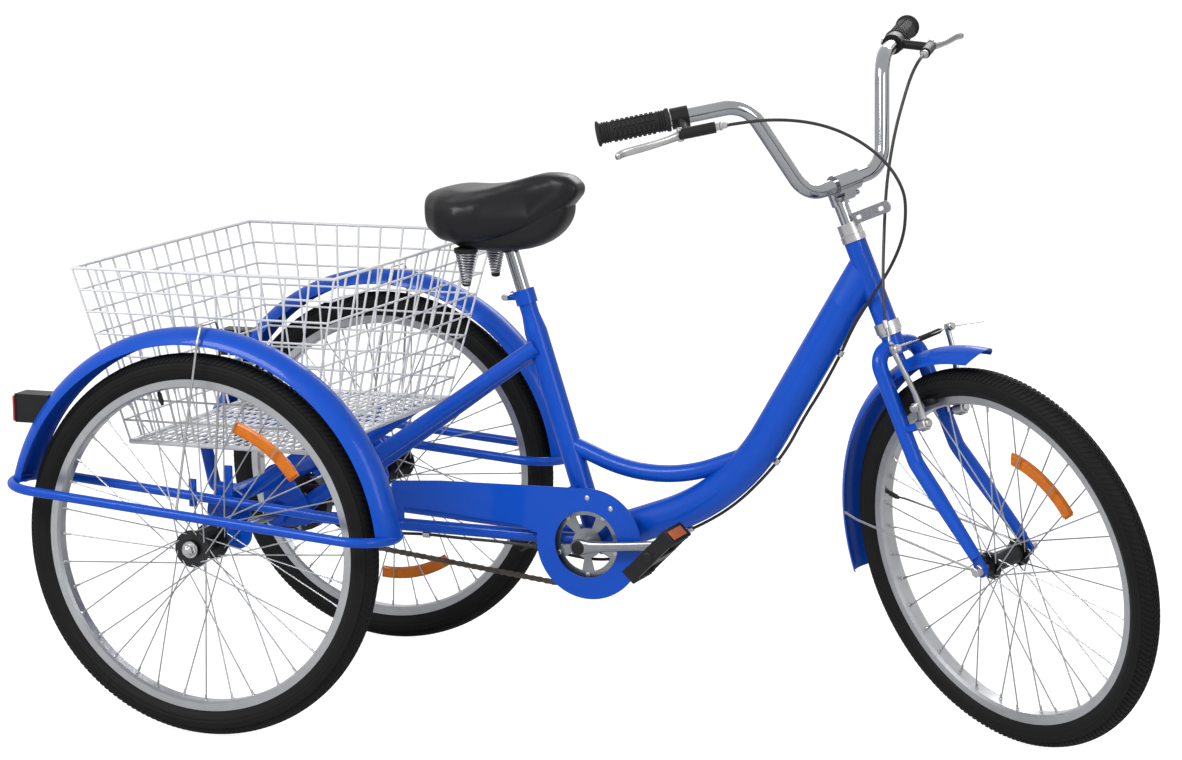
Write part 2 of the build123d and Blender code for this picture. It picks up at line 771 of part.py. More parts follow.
headEnd = Vector(*headPoint(mainTubeHead))
corner = Vector(mainTubeCorner[0], 0, mainTubeCorner[1])
bracketPoint = Vector(bottomBracket[0], 0, bottomBracket[1])
downTube = (corner - headEnd).normalized()
taperFoot = headEnd + downTube * mainTubeTaper
mainPath = FilletPolyline(taperFoot, corner, bracketPoint, radius=mainTubeBend)
mainRun = sweep(Plane(origin=mainPath @ 0, z_dir=mainPath % 0) * Circle(mainTubeRadius), path=mainPath)
taper = loft([
    Plane(origin=headEnd, x_dir=(0, 1, 0), z_dir=downTube) * Ellipse(mainTubeNeckWidth, mainTubeRadius),
    Plane(origin=taperFoot, x_dir=(0, 1, 0), z_dir=downTube) * Circle(mainTubeRadius),
])
mainWhole = mainRun + taper
headOuter = onHead(headTubeFoot, headTubeTop, headTubeRadius)
parts["main_tube"] = largest(mainWhole - headOuter - seatLower - shell)
brace = bentTube(
    [(braceFront[0], 0, braceFront[1]), (braceCorner[0], 0, braceCorner[1]), seatPoint(braceRear)],
    [braceBend], braceRadius)
parts["brace_tube"] = largest(brace - mainWhole - seatLower)

innerOutline = make_hull([
    *(Pos(0, crossTubeHeight) * Circle(crossTubeRadius + innerPlateRim)).edges(),
    *(Pos(*axleLine) * Circle(bearingRadius + innerPlateRim / 2)).edges(),
    *(Pos(*lugPlace) * Circle(lugRadius)).edges(),
])
innerPlate = sideFace(innerOutline, plateThickness, innerPlateFace + plateThickness / 2)
staySide = innerPlateFace - seatStayRadius + stayLap
seatStay = rod(seatPoint(seatStayTop, seatStaySide),
               (seatStayFoot[0], staySide, lugPlace[1] + seatStayFoot[1]), seatStayRadius)
parts["seat_stays"] = both(seatStay - seatLower - innerPlate)
chainStay = rod((bottomBracket[0], chainStaySpread, bottomBracket[1]),
                (chainStayFoot[0], innerPlateFace - chainStayRadius + stayLap, lugPlace[1] + chainStayFoot[1]),
                chainStayRadius)
chainStay = largest(chainStay - shell - innerPlate - seatLower - mainWhole - seatStay)
parts["chain_stays"] = both(chainStay)

crossHalf = carrierHalfWidth + plateThickness / 2
crossTube = across((0, crossTubeHeight), -crossHalf, crossHalf, crossTubeRadius)
outerOutline = Pos(0, plateTopHeight) * Circle(plateTopRadius)
outerOutline += Pos(plateFootX, wheelRadius) * Circle(plateFootRadius)
outerPlate = sideFace(outerOutline, plateThickness, carrierHalfWidth)
bearingHalf = bearingWidth / 2
bearing = across(axleLine, carrierHalfWidth - bearingHalf, carrierHalfWidth + bearingHalf, bearingRadius)
innerBearing = across(
    axleLine, innerPlateFace - innerBearingReach[0], innerPlateFace + innerBearingReach[1], bearingRadius)
axleBore = across(axleLine, -rearTrack, rearTrack, axleRadius + runningGap)
carrierSide = outerPlate + bearing + innerPlate + innerBearing
carrier = crossTube + carrierSide + mirrored(carrierSide) - axleBore
parts["axle_carrier"] = carrier
strutTop = basketFloor[3] - basketWire
strutRear = bentTube(
    [
        (0, strutSide, crossTubeHeight),
        (strutRearElbow[0], strutSide, strutRearElbow[1]),
        (strutRearTop, strutSide, strutTop + strutRadius),
    ],
    [strutBend], strutRadius)
strutFront = rod((0, strutSide, crossTubeHeight - strutSink),
                 (strutFrontTop, strutSide, strutTop + strutOverrun), strutRadius)
floorCut = Pos(0, 0, strutTop + wheelRadius / 2) * Box(2 * wheelRadius, rearTrack, wheelRadius)
strut = strutRear + strutFront - crossTube - floorCut
parts["basket_struts"] = Compound(children=[*strut.solids(), *mirrored(strut).solids()])

# Wheel guards, fenders, stay wires and reflectors
guardSlope = (guardFront[1] - guardRear[1]) / (guardFront[0] - guardRear[0])


def guardHeight(x):
    return guardRear[1] + guardSlope * (x - guardRear[0])


def guardHalf(x):
    middle = (guardRear[0] + guardFront[0]) / 2
    bend = (guardOuter - guardInner) / 2 - runningGap
    return bentTube(
        [
            (middle, guardOuter, guardHeight(middle)),
            (x, guardOuter, guardHeight(x)),
            (x, guardInner, guardHeight(x)),
            (middle, guardInner, guardHeight(middle)),
        ],
        [bend, bend], guardRadius)


def tabUnder(x, towardRear):
    length, width, thickness = fenderTabSize
    middle = x - length / 2 if towardRear else x + length / 2
    return Pos(middle, rearTrack / 2, guardHeight(x)) * Box(length, width, thickness)


loop = guardHalf(guardFront[0]) + guardHalf(guardRear[0])
rearFender = fender(fenderRadius, fenderWidth, fenderDepth, fenderStart, fenderEnd)
rearFender = largest(rearFender.moved(Location((0, rearTrack / 2, wheelRadius + fenderRise))) - loop)
tabReach = guardInner - carrierHalfWidth
guardTab = Pos(0, carrierHalfWidth + tabReach / 2, guardHeight(0)) * Box(
    guardTabSize[0], tabReach, guardTabSize[1])
strapBars = [
    Pos(x, guardInner - guardRadius, crossTubeHeight + (low + high) / 2) * Box(
        strapSize[0], strapSize[1], high - low)
    for x, low, high in straps
]
guard = loop + guardTab + tabUnder(guardFront[0], True) + tabUnder(guardRear[0], False)
for strapBar in strapBars:
    guard += strapBar
guard = largest(guard - carrier - rearFender)
parts["wheel_guards"] = both(guard)
parts["rear_fenders"] = both(rearFender)

crownZ = wheelRadius + fenderRise + fenderRadius + stayWireRadius + stayWireRise
footX, crownX = stayWireX
edgeZ = crownZ - stayWireEdge / 2 - stayWireCrown / 4
middleY = rearTrack / 2
stayWire = bentTube(
    [
        (footX, guardOuter, guardHeight(footX)),
        (crownX, middleY + stayWireEdge, edgeZ),
        (crownX, middleY + stayWireCrown, crownZ),
        (crownX, middleY - stayWireCrown, crownZ),
        (crownX, middleY - stayWireEdge, edgeZ),
        (footX, guardInner, guardHeight(footX)),
    ],
    [stayWireBend, stayWireBend, stayWireBend, stayWireBend], stayWireRadius)
parts["fender_stay_wires"] = both(largest(stayWire - guard))

reflectorLength, reflectorWidth, reflectorHeight = reflectorSize
reflector = Pos(reflectorRear + reflectorLength / 2, middleY, reflectorFoot + reflectorHeight / 2) * Box(
    reflectorLength, reflectorWidth, reflectorHeight)
fenderCore = across((0, wheelRadius + fenderRise), 0, rearTrack, fenderRadius - fenderDepth / 2)
reflector = reflector - fenderCore - rearFender
parts["rear_reflectors"] = both(largest(reflector))


# Drive
def pitchRadius(teeth):
    return chainPitch / 2 / math.sin(math.pi / teeth)


ringRadius = pitchRadius(ringTeeth)
sprocketRadius = pitchRadius(sprocketTeeth)
sprocketFace = Circle(sprocketRadius - toothGap) - Circle(axleRadius + runningGap)
sprocket = sideFace(sprocketFace, sprocketWidth, chainLine)
parts["rear_sprocket"] = sprocket.moved(Location((0, 0, wheelRadius)))

spiderFace = Circle(spiderRadius) - Circle(spindleRadius)
windowRing = Circle(spiderWindow[1]) - Circle(spiderWindow[0])
for index in range(spiderArms):
    middle = spiderFirstArm + 360 / spiderArms * (index + 0.5)
    reach = spiderRadius * 2
    edges = [math.radians(middle + turn) for turn in (-spiderWindowHalf, spiderWindowHalf)]
    wedge = make_face(Polyline(
        (0, 0), *[(reach * math.cos(edge), reach * math.sin(edge)) for edge in edges], (0, 0)))
    spiderFace -= windowRing & wedge
ringFace = Circle(ringRadius - toothGap) - Circle(spiderRadius - spiderLap)
spider = extrude(spiderFace, spiderThickness / 2, both=True)
spider += extrude(ringFace, sprocketWidth / 2, both=True)
for index in range(spiderArms):
    angle = math.radians(spiderFirstArm + 360 / spiderArms * index)
    bolt = Pos(spiderBoltCircle * math.cos(angle), spiderBoltCircle * math.sin(angle), 0) * Cylinder(
        spiderBoltRadius, spiderThickness * 2)
    spider += bolt
spider = spider.rotate(Axis.X, 90).moved(Location((bottomBracket[0], chainLine, bottomBracket[1])))
parts["chainring"] = spider
spindle = across(bottomBracket, -crankOffset, crankOffset, spindleRadius)
parts["crank_spindle"] = spindle


def crankArm(side, angle):
    """Arm and the pedal's axle, and the place of that axle in the side view."""
    end = (
        bottomBracket[0] + crankLength * math.cos(angle),
        bottomBracket[1] + crankLength * math.sin(angle),
    )
    outline = make_hull([
        *(Pos(*bottomBracket) * Circle(crankBossRadius)).edges(),
        *(Pos(*end) * Circle(crankEyeRadius)).edges(),
    ])
    arm = sideFace(outline, crankThickness, side * (crankOffset + crankThickness / 2))
    outside = crankOffset + crankThickness + pedalGap + pedalWidth
    return arm + across(end, side * (crankOffset + crankThickness / 2), side * outside, pedalAxleRadius), end


rise = math.radians(crankRise)
crankRight, rightEnd = crankArm(-1, rise)
crankLeft, leftEnd = crankArm(1, rise + math.pi)
parts["crank_arm_right"] = crankRight - spindle
parts["crank_arm_left"] = crankLeft - spindle


def pedal(side, end):
    """Two side rails and two treads round a barrel, tipped up at the front."""
    near = crankOffset + crankThickness + pedalGap
    middle = side * (near + pedalWidth / 2)
    body = Box(pedalLength, pedalWidth, pedalThickness)
    pocket = pedalLength / 2 - pedalRail - pedalBarrelRadius + pedalLap
    for way in (-1, 1):
        place = way * (pedalLength / 2 - pedalRail - pocket / 2)
        body -= Pos(place, 0, 0) * Box(pocket, pedalWidth - 2 * pedalRail, 2 * pedalThickness)
    body += Cylinder(pedalBarrelRadius, pedalWidth, rotation=(90, 0, 0))
    body = body.rotate(Axis.Y, -pedalTilt).moved(Location((end[0], middle, end[1])))
    return body - across(end, -rearTrack, rearTrack, pedalAxleRadius + runningGap)


parts["pedal_right"] = pedal(-1, rightEnd)
parts["pedal_left"] = pedal(1, leftEnd)


def beltPoint(distance, normals, spans):
    """Point of the chain's pitch line and the way out from it, going round from the sprocket's top."""
    centres = (Vector(*axleLine), Vector(*bottomBracket))
    radii = (sprocketRadius, ringRadius)
    upper, lower = normals
    along = distance % sum(spans)
    if along < spans[0]:
        start = centres[0] + upper * radii[0]
        finish = centres[1] + upper * radii[1]
        return start + (finish - start) * (along / spans[0]), upper
    along -= spans[0]
    if along < spans[1]:
        out = upper.rotate(Axis.Z, -math.degrees(along / radii[1]))
        return centres[1] + out * radii[1], out
    along -= spans[1]
    if along < spans[2]:
        start = centres[1] + lower * radii[1]
        finish = centres[0] + lower * radii[0]
        return start + (finish - start) * (along / spans[2]), lower
    along -= spans[2]
    out = lower.rotate(Axis.Z, -math.degrees(along / radii[0]))
    return centres[0] + out * radii[0], out


def chainBand():
    """Closed band whose outside swells at each pin and narrows between them."""
    run = Vector(*bottomBracket) - Vector(*axleLine)
    turn = math.degrees(math.acos((sprocketRadius - ringRadius) / run.length))
    upper = run.normalized().rotate(Axis.Z, turn)
    lower = run.normalized().rotate(Axis.Z, -turn)
    straight = math.sqrt(run.length ** 2 - (ringRadius - sprocketRadius) ** 2)
    ringArc = math.radians(2 * turn) * ringRadius
    sprocketArc = math.radians(360 - 2 * turn) * sprocketRadius
    spans = (straight, ringArc, straight, sprocketArc)
    steps = 2 * round(sum(spans) / chainPitch)
    outside, inside = [], []
    for step in range(steps):
        middle, out = beltPoint(step / steps * sum(spans), (upper, lower), spans)
        swell = chainWaistHeight if step % 2 else chainPinHeight
        outside.append(tuple(middle + out * swell)[:2])
        inside.append(tuple(middle - out * chainInside)[:2])
    face = make_face(Polyline(*outside, outside[0])) - make_face(Polyline(*inside, inside[0]))
    return sideFace(face, chainWidth, chainLine)


parts["chain"] = chainBand()

guardY = chainLine - guardOffset


def fromBracket(x, z):
    return (bottomBracket[0] + x, bottomBracket[1] + z)


ringAt = fromBracket(*guardRingShift)
waistRearX, waistRearZ, waistFrontX, waistFrontZ = guardWaist
tailX, tailFoot, tailTop = guardTail
guardOutline = make_face(Polyline(
    fromBracket(tailX, tailFoot),
    fromBracket(tailX + guardTailChamfer, tailTop - guardTailChamfer),
    fromBracket(waistRearX, tailTop - guardTopFall),
    (ringAt[0], ringAt[1] + guardRingRadius),
    ringAt,
    fromBracket(*guardChin),
    fromBracket(waistFrontX, waistFrontZ),
    fromBracket(waistRearX, waistRearZ),
    fromBracket(tailX, tailFoot),
))
guardOutline += Pos(*ringAt) * Circle(guardRingRadius)
guardOutline -= Pos(*fromBracket(guardRingShift[0] / 2, guardRingShift[1] / 2)) * Circle(guardRingHole)
chainGuard = sideFace(guardOutline, guardSheet, guardY - guardSheet / 2)
armAt = fromBracket(guardArmX, guardArmHeight)
guardArm = across(armAt, guardY, 0, guardArmRadius) - seatLower
guardArm = min(guardArm.solids(), key=lambda solid: solid.center().Y)
footWidth, footHeight = guardFootSize
footAt = fromBracket(guardFootX + footWidth / 2, tailFoot - footHeight / 2 + guardFootLap)
guardFoot = Pos(footAt[0], guardY - guardSheet / 2, footAt[1]) * Box(footWidth, guardSheet, footHeight)
guardFoot = max((guardFoot - mirrored(chainStay)).solids(), key=lambda solid: solid.center().Z)
parts["chain_guard"] = chainGuard + guardArm + guardFoot

drum = across(axleLine, brakeDrumOffset - brakeDrumWidth, brakeDrumOffset, brakeDrumRadius)
drum = drum - across(axleLine, -rearTrack, rearTrack, brakeDrumBore) - crossTube
parts["band_brake"] = largest(drum)

# Saddle
sections = [
    Plane(origin=(x, 0, bottomBracket[1] + (low + high) / 2), x_dir=(0, 1, 0), z_dir=(1, 0, 0))
    * RectangleRounded(width, high - low, (high - low) * saddleRounding)
    for x, width, low, high in saddleSections
]
saddleShape = loft(sections)
springX, springY = springPlace
panNoseX, panNoseRadius = saddlePanNose
panOutline = make_hull([
    *(Pos(springX, springY) * Circle(springCapRadius)).edges(),
    *(Pos(springX, -springY) * Circle(springCapRadius)).edges(),
    *(Pos(panNoseX, 0) * Circle(panNoseRadius)).edges(),
])
pan = extrude(panOutline, saddlePanTop - saddlePanFoot)
pan = pan.moved(Location((0, 0, bottomBracket[1] + saddlePanFoot)))
clampHeight = bottomBracket[1] + postTop
saddleClamp = across((saddleClampX, clampHeight), -saddleClampWidth, saddleClampWidth, saddleClampRadius)
postHole = onSeat(seatTubeTop, postTop + saddleClampRadius, postRadius + seatGap)
parts["saddle_base"] = largest(pan + saddleClamp - post - saddleShape)
parts["saddle"] = largest(saddleShape - postHole)


def coneSpring():
    """Close-wound coil spring that narrows downwards, as stacked rings."""
    top = bottomBracket[1] + saddlePanFoot
    coil = springHeight / springCoils
    outline = [(0, top - springHeight), (springFootRadius, top - springHeight)]
    for turn in range(springCoils):
        share = (turn + 0.5) / springCoils
        radius = springFootRadius + (springTopRadius - springFootRadius) * share
        height = top - springHeight + coil * (turn + 0.5)
        outline.append((radius + springGroove / 2, height))
        outline.append((radius - springGroove / 2 + (springTopRadius - springFootRadius) / springCoils / 2,
                        height + coil / 2))
    outline[-1] = (springTopRadius, top)
    outline += [(0, top), (0, top - springHeight)]
    profile = Plane.XZ * make_face(Polyline(*outline))
    return revolve(profile, Axis.Z).moved(Location((springX, springY, 0)))


parts["saddle_springs"] = both(coneSpring())


# Basket
def grille(corners, columns, rows, rimWidth):
    """Flat wire panel between four corners given anticlockwise from the lower left."""
    low, right, top, left = [Vector(*corner) for corner in corners]
    alongFoot = (right - low).normalized()
    normal = alongFoot.cross(left - low).normalized()
    plane = Plane(origin=low, x_dir=alongFoot, z_dir=normal)
    flat = [plane.to_local_coords(corner) for corner in (low, right, top, left)]
    outline = [(corner.X, corner.Y) for corner in flat]
    face = make_face(Polyline(*outline, outline[0]))
    inside = offset(face, -rimWidth, kind=Kind.INTERSECTION)
    start = min(x for x, y in outline)
    width = max(x for x, y in outline) - start
    height = outline[2][1]
    bars = Sketch()
    for column in range(1, columns):
        share = column / columns
        foot = (outline[0][0] + (outline[1][0] - outline[0][0]) * share, 0)
        head = (outline[3][0] + (outline[2][0] - outline[3][0]) * share, height)
        angle = math.degrees(math.atan2(head[1] - foot[1], head[0] - foot[0]))
        middle = Pos((foot[0] + head[0]) / 2, (foot[1] + head[1]) / 2)
        bars += middle * Rot(0, 0, angle) * Rectangle(math.dist(foot, head), basketWire)
    for row in range(1, rows):
        bars += Pos(start + width / 2, height * row / rows) * Rectangle(width, basketWire)
    return extrude(plane * ((face - inside) + (bars & face)), basketWire)


topRear, topFront, topHalf, topZ = basketTop
lowRear, lowFront, lowHalf, lowZ = basketFloor
lowCorners = [(lowRear, -lowHalf), (lowFront, -lowHalf), (lowFront, lowHalf), (lowRear, lowHalf)]
topCorners = [(topRear, -topHalf), (topFront, -topHalf), (topFront, topHalf), (topRear, topHalf)]


def sidePlace(first, second):
    """Corners of the wall between two corners of the floor."""
    low = [(*lowCorners[corner], lowZ) for corner in (first, second)]
    high = [(*topCorners[corner], topZ) for corner in (second, first)]
    return low + high


sidePanel = grille(sidePlace(0, 1), basketColumns, basketRows, basketRim)
frontPanel = grille(sidePlace(1, 2), basketCross, basketRows, basketRim)
rearPanel = grille(sidePlace(3, 0), basketCross, basketRows, basketRim)
floorZ = lowZ - basketWire
parts["basket_sides"] = both(sidePanel)
parts["basket_ends"] = Compound(children=[*frontPanel.solids(), *rearPanel.solids()])
parts["basket_floor"] = grille(
    [(*corner, floorZ) for corner in lowCorners], basketFloorBars, basketCross, basketFloorRim)


# Brake cables
def cordRadii(points):
    """Bend at each inner point: a share of the shorter run over the tangent of half the turn."""
    radii = []
    for before, here, after in zip(points, points[1:], points[2:]):
        arriving, leaving = here - before, after - here
        turn = math.radians(arriving.get_angle(leaving))
        shorter = min(arriving.length, leaving.length)
        radii.append(bendShare * shorter / math.tan(turn / 2))
    return radii


def cord(name, points):
    points = [Vector(*point) for point in points]
    radii = cordRadii(points)
    path = FilletPolyline(*points, radius=radii)
    shape = sweep(Plane(origin=path @ 0, z_dir=path % 0) * Circle(cableRadius), path=path)
    print(name, "length", round(path.length), "bends", [round(radius) for radius in radii])
    return shape


def turnedPoint(point):
    """The same point once the steering stands at its rest angle."""
    base = Vector(*headPoint(0))
    return base + (Vector(*point) - base).rotate(Axis((0, 0, 0), tuple(alongHead)), restSteer)


def underTube(share, slack):
    """Point just below the main tube, a share of the way along it."""
    way = mainPath % share
    outward = Vector(-way.Z, 0, way.X)
    return mainPath @ share + outward * (cableRest + slack)


adjusterLeft = onLever(adjusterEnd, leverBodyOut)
adjusterRight = Vector(adjusterLeft.X, -adjusterLeft.Y, adjusterLeft.Z)
frontRoute = [adjusterLeft, *[headPoint(*point) for point in frontCableRoute], noodleStart]
parts["front_brake_cable"] = turned(cord("front brake cable", frontRoute))

heldRoute = [underTube(*point) for point in tubeCableRoute]
heldRoute += [Vector(bottomBracket[0] + x, y, bottomBracket[1] + z) for x, y, z in stayCableRoute]
parts["rear_brake_cable"] = cord("rear brake cable on the frame", heldRoute)
freeRoute = [adjusterRight, *[Vector(*headPoint(*point)) for point in freeCableRoute]]
freeRoute = [turnedPoint(point) for point in freeRoute]
freeRoute += [Vector(*headPoint(rise, forward, side)) for rise, forward, side in neckCableRoute]
freeRoute += [heldRoute[0]]
freeCable = cord("rear brake cable from the lever", freeRoute)
firstRun = (heldRoute[1] - heldRoute[0]).normalized()
cableEnd = rod(heldRoute[0] - firstRun * cableRadius, heldRoute[1], 2 * cableRadius)
parts["rear_brake_cable_free"] = largest(freeCable - cableEnd)

whole = Compound(children=[solid for shape in parts.values() for solid in shape.solids()])
box = whole.bounding_box()
shift = Vector(-(box.min.X + box.max.X) / 2, -(box.min.Y + box.max.Y) / 2, -box.min.Z)

if __name__ == "__main__":
    print("box", box, "shift", shift)
    os.makedirs("parts", exist_ok=True)
    for name, shape in parts.items():
        export_step(Compound(children=[*shape.moved(Location(shift)).solids()]), f"parts/{name}.step")
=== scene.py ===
import math

import bmesh
import bpy
from mathutils import Matrix, Vector


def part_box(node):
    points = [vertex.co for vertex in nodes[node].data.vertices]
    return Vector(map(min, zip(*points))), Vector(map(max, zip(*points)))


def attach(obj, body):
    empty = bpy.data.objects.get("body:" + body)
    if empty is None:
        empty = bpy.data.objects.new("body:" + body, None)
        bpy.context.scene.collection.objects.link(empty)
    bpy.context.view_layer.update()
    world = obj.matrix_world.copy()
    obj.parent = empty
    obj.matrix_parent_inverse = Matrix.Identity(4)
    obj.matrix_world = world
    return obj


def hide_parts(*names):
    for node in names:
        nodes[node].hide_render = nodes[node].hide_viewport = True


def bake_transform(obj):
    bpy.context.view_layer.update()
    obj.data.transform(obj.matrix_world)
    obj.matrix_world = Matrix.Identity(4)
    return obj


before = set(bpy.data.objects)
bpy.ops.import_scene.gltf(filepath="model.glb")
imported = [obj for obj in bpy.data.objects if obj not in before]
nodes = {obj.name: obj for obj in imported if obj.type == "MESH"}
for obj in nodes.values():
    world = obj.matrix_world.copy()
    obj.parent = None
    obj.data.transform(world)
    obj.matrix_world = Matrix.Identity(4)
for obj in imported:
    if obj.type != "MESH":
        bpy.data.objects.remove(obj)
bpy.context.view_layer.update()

scene = bpy.context.scene

hubLow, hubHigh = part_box("rear_wheel_right_hub")
# every place below is measured in millimetres from the point on the ground under the rear axle
rearAxle = Vector(((hubLow.x + hubHigh.x) / 2, 0, 0))


def place(x, y, z):
    return rearAxle + Vector((x, y, z)) / 1000


def linked(name, data):
    piece = bpy.data.objects.new(name, data)
    scene.collection.objects.link(piece)
    return piece


def addNode(tree, kind, inputs={}, **settings):
    # an input is either a plain value or the output of another node
    made = tree.nodes.new(kind)
    for key, value in settings.items():
        setattr(made, key, value)
    feed(tree, made, inputs)
    return made


def feed(tree, made, inputs):
    for key, value in inputs.items():
        if isinstance(value, bpy.types.NodeSocket):
            tree.links.new(value, made.inputs[key])
        else:
            made.inputs[key].default_value = value


# Camera and room
camera = dict(where=(2701, -5330, 1506), turn=22.33, dip=9.56, roll=-0.77, lens=113.8, lift=-0.0036)
turn, dip, roll = (math.radians(camera[key]) for key in ("turn", "dip", "roll"))
ahead = Vector((-math.sin(turn) * math.cos(dip), math.cos(turn) * math.cos(dip), -math.sin(dip)))
level = Vector((math.cos(turn), math.sin(turn), 0))
upward = level.cross(ahead)
right = level * math.cos(roll) + upward * math.sin(roll)
top = upward * math.cos(roll) - level * math.sin(roll)
lens = bpy.data.cameras.new("viewCamera")
lens.lens = camera["lens"]
lens.sensor_width = 36
lens.shift_y = camera["lift"]
lens.clip_end = 200
viewer = linked("viewCamera", lens)
viewTurn = Matrix((right, top, -ahead)).transposed().to_4x4()
viewer.matrix_world = Matrix.Translation(place(*camera["where"])) @ viewTurn
scene.camera = viewer
scene.view_settings.view_transform = "Standard"


def addLamp(name, where, target, size, power):
    lamp = bpy.data.lights.new(name, "AREA")
    lamp.shape = "RECTANGLE"
    lamp.size, lamp.size_y = size
    lamp.energy = power
    holder = linked(name, lamp)
    holder.location = place(*where)
    holder.rotation_euler = (place(*target) - place(*where)).to_track_quat("-Z", "Y").to_euler()


addLamp("keyLamp", (-900, -3600, 3600), (600, 0, 500), (2.6, 1.6), 190)
addLamp("sideLamp", (4600, -2400, 2200), (900, 0, 500), (1.6, 2.6), 70)
addLamp("backLamp", (600, 4200, 3200), (600, 0, 500), (3.0, 1.4), 90)

# light falls on the object, backdrop is what is seen behind it
room = dict(light=0.42, backdrop=1.0, floorHalf=40, floorGrey=0.8, floorGlow=1.5, floorShare=0.62)
world = bpy.data.worlds.new("room")
scene.world = world
world.use_nodes = True
air = world.node_tree
air.nodes.clear()
seen = addNode(air, "ShaderNodeLightPath").outputs
anyEye = addNode(air, "ShaderNodeMath", {0: seen["Is Camera Ray"], 1: seen["Is Glossy Ray"]},
                 operation="MAXIMUM")
clearEye = addNode(air, "ShaderNodeMath", {0: anyEye.outputs[0], 1: seen["Is Transmission Ray"]},
                   operation="MAXIMUM")
shade = addNode(air, "ShaderNodeMix", {
    "A": room["light"], "B": room["backdrop"], "Factor": clearEye.outputs[0]}, data_type="FLOAT")
glow = addNode(air, "ShaderNodeBackground", {"Color": (1, 1, 1, 1), "Strength": shade.outputs["Result"]})
addNode(air, "ShaderNodeOutputWorld", {"Surface": glow.outputs["Background"]})

half = room["floorHalf"]
floorMesh = bpy.data.meshes.new("floor")
corners = [(-half, -half, 0), (half, -half, 0), (half, half, 0), (-half, half, 0)]
floorMesh.from_pydata(corners, [], [(0, 1, 2, 3)])
floor = linked("floor", floorMesh)
floorPaint = bpy.data.materials.new("paleFloor")
floorPaint.use_nodes = True
tree = floorPaint.node_tree
tree.nodes.clear()
seen = addNode(tree, "ShaderNodeLightPath").outputs["Is Camera Ray"]
matt = addNode(tree, "ShaderNodeBsdfDiffuse", {"Color": (*[room["floorGrey"]] * 3, 1)}).outputs[0]
lit = addNode(tree, "ShaderNodeEmission", {"Strength": room["floorGlow"]}).outputs[0]
bright = addNode(tree, "ShaderNodeMixShader", {"Fac": room["floorShare"], 1: matt, 2: lit}).outputs[0]
both = addNode(tree, "ShaderNodeMixShader", {"Fac": seen, 1: matt, 2: bright}).outputs[0]
addNode(tree, "ShaderNodeOutputMaterial", {"Surface": both})
floorMesh.materials.append(floorPaint)
print("camera and room ready")


# Finishes
def makeFinish(name, colour, second, patchScale, roughness, roughSpread, metallic=0.0, coat=0.0,
               coatRoughness=0.05, specular=0.5, grainScale=400.0, grainDepth=0.02, cells=False):
    made = bpy.data.materials.new(name)
    made.use_nodes = True
    made.diffuse_color = (*colour, 1)
    tree = made.node_tree
    where = addNode(tree, "ShaderNodeTexCoord").outputs["Object"]
    noise = addNode(tree, "ShaderNodeTexNoise", {"Vector": where, "Scale": patchScale, "Detail": 4})
    patches = noise.outputs["Fac"]
    blend = addNode(tree, "ShaderNodeMix", {"A": (*colour, 1), "B": (*second, 1), "Factor": patches},
                    data_type="RGBA")
    rub = addNode(tree, "ShaderNodeMapRange", {
        "To Min": roughness - roughSpread, "To Max": roughness + roughSpread, "Value": patches})
    grain = addNode(tree, "ShaderNodeTexVoronoi" if cells else "ShaderNodeTexNoise",
                    {"Vector": where, "Scale": grainScale})
    relief = addNode(tree, "ShaderNodeBump", {"Strength": 0.5, "Distance": grainDepth / 1000,
                                              "Height": grain.outputs["Distance" if cells else "Fac"]})
    feed(tree, tree.nodes["Principled BSDF"], {
        "Metallic": metallic, "Coat Weight": coat, "Coat Roughness": coatRoughness,
        "Specular IOR Level": specular, "Base Color": blend.outputs["Result"],
        "Roughness": rub.outputs["Result"], "Normal": relief.outputs["Normal"]})
    return made


bluePaint = makeFinish("bluePaint", (0.0, 0.066, 0.46), (0.0, 0.052, 0.39), 3, 0.42, 0.05, coat=0.2,
                       coatRoughness=0.05, specular=0.14, grainScale=260, grainDepth=0.03)
tyreRubber = makeFinish("tyreRubber", (0.006, 0.006, 0.006), (0.01, 0.01, 0.01), 30, 0.6, 0.1, specular=0.1,
                        grainScale=900, grainDepth=0.15)
rimAlloy = makeFinish("rimAlloy", (0.46, 0.47, 0.48), (0.34, 0.35, 0.37), 40, 0.34, 0.08, metallic=1,
                      grainScale=1200, grainDepth=0.02)
spokeSteel = makeFinish("spokeSteel", (0.4, 0.41, 0.42), (0.3, 0.31, 0.32), 80, 0.3, 0.06, metallic=1)
chrome = makeFinish("chrome", (0.36, 0.37, 0.39), (0.26, 0.27, 0.29), 20, 0.09, 0.03, metallic=1,
                    grainScale=600, grainDepth=0.005)
zincSteel = makeFinish("zincSteel", (0.5, 0.5, 0.5), (0.36, 0.36, 0.37), 60, 0.36, 0.1, metallic=1)
leverAlloy = makeFinish("leverAlloy", (0.5, 0.5, 0.49), (0.36, 0.36, 0.36), 40, 0.3, 0.08, metallic=1)
crankSteel = makeFinish("crankSteel", (0.3, 0.31, 0.33), (0.2, 0.21, 0.22), 50, 0.34, 0.1, metallic=1)
chainSteel = makeFinish("chainSteel", (0.12, 0.105, 0.09), (0.05, 0.045, 0.04), 90, 0.42, 0.1, metallic=1)
darkSteel = makeFinish("darkSteel", (0.05, 0.05, 0.055), (0.025, 0.025, 0.025), 50, 0.4, 0.1, metallic=1)
springSteel = makeFinish("springSteel", (0.3, 0.3, 0.32), (0.2, 0.2, 0.21), 90, 0.36, 0.1, metallic=1)
blackPlastic = makeFinish("blackPlastic", (0.008, 0.008, 0.009), (0.014, 0.014, 0.015), 20, 0.42, 0.06,
                          specular=0.18, grainScale=1500, grainDepth=0.05)
gripRubber = makeFinish("gripRubber", (0.012, 0.012, 0.012), (0.022, 0.022, 0.022), 25, 0.62, 0.08,
                        specular=0.15, grainScale=1400, grainDepth=0.08)
